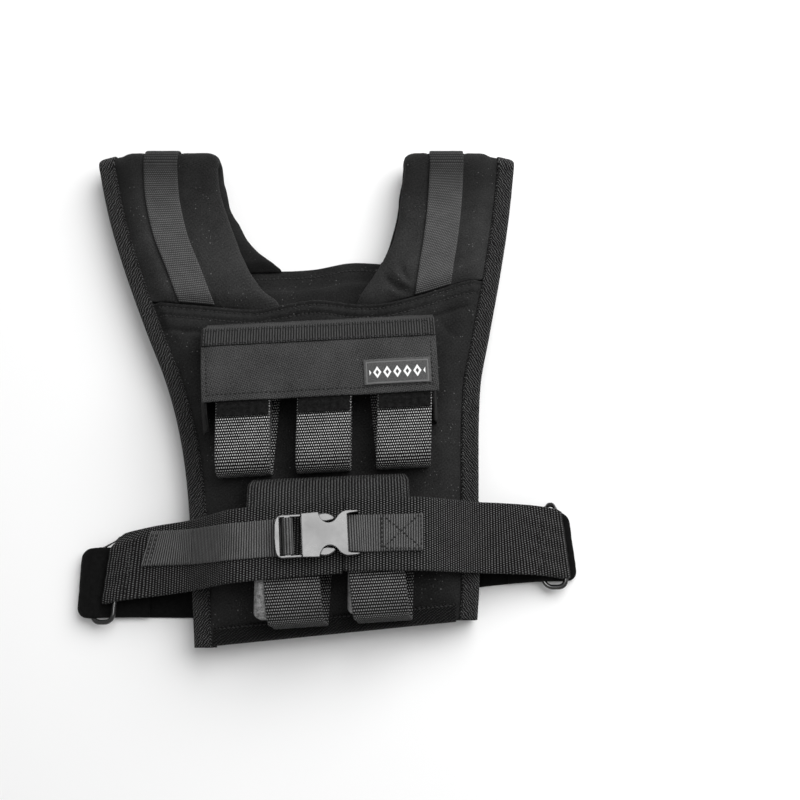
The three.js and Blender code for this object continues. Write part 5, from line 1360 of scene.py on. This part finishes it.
def side_strap(ring, line, start, word):
    free = abs(ring["held"] * BELT_SPAN - RING_WIDTH)

    def place(a, z, s):
        y = BODY_LENGTH * line(a / BELT_SPAN) + s
        to_tip = np.clip((np.abs(a) - free) / (ring["tip"] * BELT_SPAN - free), 0, 1)
        past = np.clip(np.abs(s) - WEBBING_WIDE / 2 + TIP_ROUND, 0, TIP_ROUND)
        tip = abs(ring["tip"]) * BELT_SPAN
        rounding = (TIP_ROUND - np.sqrt(TIP_ROUND ** 2 - past ** 2)) * smooth(np.abs(a), tip - 14, tip - 4)
        x = a + lean_at(ring, a, y) * lerp(1, ring["tip_lean"], to_tip)
        return joined(x - ring["side"] * rounding, y, z)

    def relief(s, along):
        inside = smooth(22.5 - np.abs(s), 0, 1)
        return inside * (0.16 * ripple(s, along, 2.4, 120) + 0.12 * ripple(s, along, 7, 121))

    piece = ribbon(f"side_strap_{word}_pile", side_strap_path(ring, start), place, WEBBING_WIDE / 2,
                   HOOK_STRAP_WALL, SIDE_PILE, relief, step=0.8, columns=45, side=-ring["side"])
    finish_piece(piece, "hook_and_loop", f"side_strap_{word}")


# Buckle and its straps

def offset_line(path, distance):
    path = np.asarray(path, float)
    steps = unit(np.diff(path, axis=0))
    before = np.vstack([steps[:1], steps])
    after = np.vstack([steps, steps[-1:]])
    direction = unit(before + after)
    half = np.maximum(np.sum(direction * after, axis=1, keepdims=True), 0.5)
    return path + np.stack([-direction[:, 1], direction[:, 0]], 1) * distance / half


def clip_line(path, start, end):
    z = np.interp([start, end], path[:, 0], path[:, 1])
    inside = path[(path[:, 0] > start + 0.5) & (path[:, 0] < end - 0.5)]
    return np.vstack([[start, z[0]], inside, [end, z[1]]])


FRAME_END = -BUCKLE_LENGTH / 2
SPLIT = FRAME_END + BUCKLE_LENGTH * 0.325
MOUTH = FRAME_END + BUCKLE_LENGTH * 0.87
HALF_BUCKLE = BUCKLE_WIDTH / 2
SLOT_NEAR = (0.06, 0.128)
SLOT_FAR = (0.19, 0.324)
SOCKET_HALF = HALF_BUCKLE - 1.6
BUCKLE_LINE_LEFT = curve([(-0.36, -0.3145), (-0.2, -0.311), (-0.095, -0.3034), (-0.05, -0.3008)])
BUCKLE_LINE_RIGHT = curve([(0.02, -0.2957), (0.07, -0.295), (0.19, -0.292)])


def narrow_strap(path, line, word, side, soft):
    def place(a, z, s):
        away = (np.abs(a - BUCKLE_AT[0]) - BUCKLE_LENGTH / 2) / 20
        turn = math.tan(BUCKLE_TURN) * (1 - np.clip(away, 0, 1))
        turn = turn - 0.24 * (1 - smooth(a, -129, -93))
        return joined(a - s * turn, BODY_LENGTH * line(a / BELT_SPAN) + s, z)

    def relief(s, along):
        doubled = 36.6 if word == "left" else 27.6
        ribs = 0.12 * np.abs(np.sin(along * math.pi / NARROW_RIB)) - 0.08
        return ribs + 0.5 * (1 - smooth(along, doubled, doubled + 0.8))

    piece = ribbon(f"narrow_{word}_webbing", path, place, WEBBING_NARROW / 2, NARROW_WALL, NARROW, relief,
                   step=0.4, soft=soft, columns=17, side=side)
    finish_piece(piece, "light_webbing", f"buckle_strap_{word}")


def buckle_straps(left_run):
    on_belt = BELT_WALL / 2 + SEW_GAP + NARROW_WALL / 2
    low = BUCKLE_MID - BUCKLE_FRAME_HEIGHT / 2
    high = BUCKLE_MID + BUCKLE_FRAME_HEIGHT / 2
    near = BUCKLE_AT[0] + at_share(SLOT_NEAR[1]) - NARROW_WALL / 2 - GAP
    far = BUCKLE_AT[0] + at_share(SLOT_FAR[0]) + NARROW_WALL / 2 + GAP
    over_bar = high + SEW_GAP + NARROW_WALL
    base = clip_line(offset_line(left_run, on_belt), -0.36 * BELT_SPAN, BUCKLE_AT[0] + at_share(0.02))
    path = np.vstack([base, [
        (near - NARROW_WALL, low - NARROW_WALL * 0.7), (near, low + SEW_GAP), (near, high - GAP),
        (near + NARROW_WALL * 0.65, over_bar - 2 * GAP), ((near + far) / 2, over_bar),
        (far - NARROW_WALL * 0.65, over_bar - 2 * GAP), (far, high - GAP), (far, low + SEW_GAP)]])
    narrow_strap(path, BUCKLE_LINE_LEFT, "left", 1, 0.3)
    level = BELT_MID + on_belt
    right_path = rounded_path([
        (0.185 * BELT_SPAN, level), (BUCKLE_AT[0] + MOUTH + 11, level),
        (BUCKLE_AT[0] + MOUTH + 4.5, BUCKLE_MID), (BUCKLE_AT[0] + MOUTH - 4 + 2 * GAP, BUCKLE_MID)], 3)
    narrow_strap(right_path, BUCKLE_LINE_RIGHT, "right", -1, 0.5)


def bezier(points, steps):
    rows = []
    for t in np.linspace(0, 1, steps + 1)[1:]:
        layer = np.array(points, float)
        while len(layer) > 1:
            layer = lerp(layer[:-1], layer[1:], t)
        rows.append(tuple(layer[0]))
    return rows


def at_share(share):
    return FRAME_END + BUCKLE_LENGTH * share


def female_outline():
    half = HALF_BUCKLE
    side = [(SPLIT + GAP, -half * 0.97), (at_share(0.53), -half)]
    side += bezier([side[-1], (at_share(0.555), -half * 0.4), (at_share(0.7), -half * 0.36),
                    (at_share(0.76), -half * 0.78)], 18)
    side += bezier([side[-1], (at_share(0.82), -half * 1.02), (at_share(0.88), -half)], 6)
    side += [(at_share(0.97), -half * 0.985), (at_share(1), -half * 0.955), (at_share(1), -half * 0.915),
             (at_share(0.9), -half * 0.88), (MOUTH, -half * 0.84)]
    return np.array(side + [(x, -y) for x, y in side[::-1]])


def male_outline():
    outer = HALF_BUCKLE * 0.97
    arm = SOCKET_HALF - GAP
    inner = arm * 0.7
    side = [(FRAME_END, 0), (FRAME_END + 0.3, -outer * 0.5)]
    side += bezier([side[-1], (FRAME_END + 0.6, -outer), (at_share(0.1), -outer)], 10)
    side += [(SPLIT, -outer), (SPLIT, -arm), (at_share(0.5), -arm)]
    side += bezier([side[-1], (at_share(0.6), -HALF_BUCKLE), (at_share(0.66), -HALF_BUCKLE * 0.96),
                    (at_share(0.72), -arm * 0.82)], 10)
    side += [(at_share(0.7), -inner * 1.02), (at_share(0.62), -inner * 0.94), (at_share(0.55), -inner * 0.98),
             (SPLIT + 2, -inner)]
    return np.array(side + [(x, -y) for x, y in side[:0:-1]])


def plate(name, corners, height):
    """Flat plate with the given outline, in the buckle's own place and at the middle of its height."""
    x, y = turned_at(corners[:, 0], corners[:, 1], BUCKLE_AT, BUCKLE_TURN)
    points = np.vstack([joined(x, y, BUCKLE_MID - height / 2), joined(x, y, BUCKLE_MID + height / 2)])
    low_ring = np.arange(len(corners))
    high_ring = low_ring + len(corners)
    faces = [low_ring[::-1].tolist(), high_ring.tolist()]
    faces += np.stack([low_ring, np.roll(low_ring, -1), np.roll(high_ring, -1), high_ring], 1).tolist()
    return make_object(name, points, faces, loops_of(points, faces), PLASTIC)


def cutter(start, end, half, height):
    corners = np.array([(start, -half), (end, -half), (end, half), (start, half)], float)
    return plate("cutter", corners, height)


def round_edges(piece, bevel):
    """Bevel on the edges of a plate's two faces."""
    bm = bmesh.new()
    bm.from_mesh(piece.data)
    bmesh.ops.recalc_face_normals(bm, faces=bm.faces)
    rims = [edge for edge in bm.edges if abs(edge.verts[0].co.z - edge.verts[1].co.z) < 1e-6]
    bmesh.ops.bevel(bm, geom=rims, offset=bevel * MM, segments=4, profile=0.6, affect="EDGES",
                    clamp_overlap=True)
    bm.to_mesh(piece.data)
    bm.free()


def carve(piece, cutters):
    for tool in cutters:
        modifier = piece.modifiers.new("cut", "BOOLEAN")
        modifier.operation = "DIFFERENCE"
        modifier.solver = "EXACT"
        modifier.object = tool
    evaluated = piece.evaluated_get(bpy.context.evaluated_depsgraph_get())
    mesh = bpy.data.meshes.new_from_object(evaluated)
    piece.modifiers.clear()
    piece.data = mesh
    for tool in cutters:
        bpy.data.objects.remove(tool)
    mesh.polygons.foreach_set("use_smooth", [True] * len(mesh.polygons))
    edges = piece.modifiers.new("edges", "WEIGHTED_NORMAL")
    edges.keep_sharp = True


def buckle():
    slot_half = WEBBING_NARROW / 2 + 2 * GAP
    sleeve_cuts = [(SPLIT - 1, at_share(0.78), SOCKET_HALF, BUCKLE_FRAME_HEIGHT + 2 * GAP),
                   (MOUTH - 4, MOUTH + 1, WEBBING_NARROW / 2 + 3 * GAP, NARROW_WALL + 4 * GAP)]
    frame_cuts = [(at_share(start), at_share(end), slot_half, 2 * BUCKLE_FRAME_HEIGHT)
                  for start, end in (SLOT_NEAR, SLOT_FAR)]
    halves = [("buckle_sleeve", "buckle_female", female_outline(), BUCKLE_HEIGHT, 1.5, sleeve_cuts),
              ("buckle_frame", "buckle_male", male_outline(), BUCKLE_FRAME_HEIGHT, 1.1, frame_cuts)]
    for name, node, corners, height, bevel, cuts in halves:
        piece = plate(name, corners, height)
        round_edges(piece, bevel)
        carve(piece, [cutter(*cut) for cut in cuts])
        piece.data.set_sharp_from_angle(angle=math.radians(40))
        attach(piece, "root")
        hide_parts(node)


# Building

front_panel()
back_panel()
for body_side, side_word in SIDES:
    shoulder_strap(body_side, side_word)
    shoulder_webbing(body_side, side_word)
    side_binding(body_side, side_word)
    pocket_side(body_side, side_word)
hem_binding("front", FRONT_FLOOR)
hem_binding("back", BACK_FLANGE_FLOOR)
for pocket in pocket_rows():
    cast_weight(*pocket[:3])
    sling(*pocket)
    if pocket[0] <= len(UPPER_SLINGS):
        sling_patch(*pocket[:5])
upper_flap()
flap_tape()
label()
lower_flap()
BELT_REST = LOWER_FLAP_WIDTH * 0.585
LEFT_RUN = belt(RING_LEFT, BELT_LINE_LEFT, "left", float(armhole_left(-0.33 * BODY_LENGTH)),
                LOWER_FLAP_AT[0] - BELT_REST)
belt(RING_RIGHT, BELT_LINE_RIGHT, "right", float(armhole_right(-0.3 * BODY_LENGTH)),
     LOWER_FLAP_AT[0] + BELT_REST)
ring_wire(RING_LEFT, "left")
ring_wire(RING_RIGHT, "right")
side_strap(RING_LEFT, SIDE_LINE_LEFT, float(panel_left(-0.37 * BODY_LENGTH)) + FLANGE, "left")
side_strap(RING_RIGHT, SIDE_LINE_RIGHT, float(panel_right(-0.32 * BODY_LENGTH)) - FLANGE, "right")
buckle_straps(LEFT_RUN)
buckle()


# Stitching

def laid_on(tree, points):
    """Line of (x, y) dropped on a piece, with the directions of its surface."""
    spots = []
    normals = []
    for x, y in points:
        start = Vector(((x + SHIFT[0]) * MM, (y + SHIFT[1]) * MM, 0.2))
        spot, normal, _, _ = tree.ray_cast(start, Vector((0, 0, -1)))
        if spot is not None:
            spots.append(np.array(spot) / MM - SHIFT)
            normals.append(np.array(normal) * (1 if normal.z > 0 else -1))
    return np.array(spots), np.array(normals)


def straight(start, end, count=40):
    return lerp(np.array(start, float), np.array(end, float), np.linspace(0, 1, count)[:, None])


def across_panel(seam, offset, margin):
    left = float(panel_left(float(seam(-90)))) + margin
    right = float(panel_right(float(seam(90)))) - margin
    x = np.linspace(left, right, 160)
    return np.stack([x, seam(x) + offset], 1)


def on_upper(start, end, count=40):
    line = straight(start, end, count)
    return joined(*turned_at(line[:, 0], line[:, 1], (UPPER_X, 0), UPPER_TURN))


def on_lower(start, end, count=40):
    line = straight(start, end, count)
    return joined(*turned_at(line[:, 0], line[:, 1], LOWER_FLAP_AT, LOWER_FLAP_TURN))


def binding_line(side, inward):
    edge = panel_left if side < 0 else panel_right
    y = np.linspace(-BODY_LENGTH * 0.47, FOLD_Y, 200)
    return np.stack([edge(y) - side * inward, y], 1)


def sew(name, piece, slot, lines, material=THREAD, lift=0.28):
    """Stitches along lines of (x, y) dropped on a piece."""
    mesh = bpy.data.objects[piece].data
    tree = BVHTree.FromPolygons([corner.co.copy() for corner in mesh.vertices],
                                [tuple(face.vertices) for face in mesh.polygons])
    rows = [laid_on(tree, line) for line in lines]
    stitches(f"stitches_{name}", [row for row in rows if len(row[0]) > 2], material, slot, lift)


def stitching():
    sew("chest", "front_pad", "panel_cloth", [
        across_panel(chest_seam, row, margin) for row, margin in zip(CHEST_ROWS, (14, 15))])
    sew("collar", "back_pad", "panel_cloth", [across_panel(back_seam, COLLAR_ROW, 40)])
    half = FLAP_WIDTH / 2
    side = half - 4
    end = FLAP_START - FLAP_DEPTH
    sides = [on_upper((x, FLAP_START - 31), (x, end + 2)) for x in (-side, side)]
    sew("flap", "flap_cloth_cover", "flap_cloth", sides + [on_upper((-side, end + 5), (side, end + 5), 160)])
    top = FLAP_START - FLAP_DEPTH * 0.2 - 1.8
    low_row = top - FLAP_TAPE_WIDTH + 3.4
    side = half - 2.2
    ends = [on_upper((x, top), (x, low_row)) for x in (-side, side, half - 7.5)]
    rows = [on_upper((-side, y), (side, y), 160) for y in (low_row, top)]
    sew("tape", "flap_tape_webbing", "binding_tape", ends + rows)
    side = LOWER_FLAP_WIDTH / 2 - 4
    sides = [on_lower((x, -4), (x, -24)) for x in (side, -side)]
    top = on_lower((2 - side, -3), (side - 2, -3), 120)
    sew("lower_flap", "lower_flap_webbing", "webbing", sides + [top])
    sew("belt_left", "belt_left_webbing", "webbing", [
        straight((-141, -110), (-147, -150)), straight((-138, -110), (-144, -150))])
    sew("belt_right", "belt_right_webbing", "webbing", [
        straight((153, -90), (154, -132)), straight((149.5, -90), (150.5, -132))])
    sew("narrow_left", "narrow_left_webbing", "light_webbing", [
        straight((-125, -107), (-129.5, -129)), straight((-121.5, -107), (-126, -129))])
    box = [(38.6, -97.5), (65, -96.5), (65.5, -120), (39, -120.5), (38.6, -97.5), (65.5, -120)]
    crossed = [straight(a, b) for a, b in zip(box, box[1:])] + [straight(box[1], box[3])]
    sew("narrow_right", "narrow_right_webbing", "light_webbing", crossed)
    for body_side, word in SIDES:
        sew(f"binding_{word}", f"binding_{word}", "binding_tape", [binding_line(body_side, 9.9)],
            DARK_THREAD, 0.05)
    x = np.linspace(-76, 92, 120)
    sew("hem", "binding_hem_front", "binding_tape", [joined(x, hem_line(x) + BINDING_OUT + 9.6)])


stitching()


# Floor, camera and lights

def floor():
    half = 2
    mesh = bpy.data.meshes.new("floor")
    corners = [(-half, -half, 0), (half, -half, 0), (half, half, 0), (-half, half, 0)]
    mesh.from_pydata(corners, [], [(0, 1, 2, 3)])
    mesh.materials.append(Surface("floor_white", solid=True).dressed(grey(0.92), roughness=0.9, specular=0.0))
    plane = bpy.data.objects.new("floor", mesh)
    bpy.context.scene.collection.objects.link(plane)


def camera():
    target = Vector((51.4, -10.4, 25)) * MM
    elevation = math.radians(78)
    distance = 0.8
    data = bpy.data.cameras.new("camera")
    data.lens = 49.5
    data.sensor_width = 36
    eye = bpy.data.objects.new("camera", data)
    eye.location = target + distance * Vector((0, -math.cos(elevation), math.sin(elevation)))
    eye.rotation_euler = (target - eye.location).to_track_quat("-Z", "Y").to_euler()
    bpy.context.scene.collection.objects.link(eye)
    bpy.context.scene.camera = eye


def area_light(name, place, size, power):
    """Round lamp turned to the vest's middle."""
    data = bpy.data.lights.new(name, "AREA")
    data.shape = "DISK"
    data.size = size
    data.energy = power
    lamp = bpy.data.objects.new(name, data)
    lamp.location = place
    lamp.rotation_euler = (-lamp.location).to_track_quat("-Z", "Y").to_euler()
    bpy.context.scene.collection.objects.link(lamp)
    return lamp


def lights():
    brightness = 0.42
    world = bpy.data.worlds.new("studio")
    world.use_nodes = True
    background = world.node_tree.nodes["Background"]
    background.inputs["Color"].default_value = grey(1)
    background.inputs["Strength"].default_value = brightness
    bpy.context.scene.world = world
    area_light("key", (0.8, 0.8, 1.35), size=2.0, power=41)
    softbox = area_light("softbox", (-0.14, 0.06, 1.8), size=0.8, power=14)
    softbox.visible_diffuse = False


floor()
camera()
lights()
bpy.context.scene.view_settings.view_transform = "Standard"
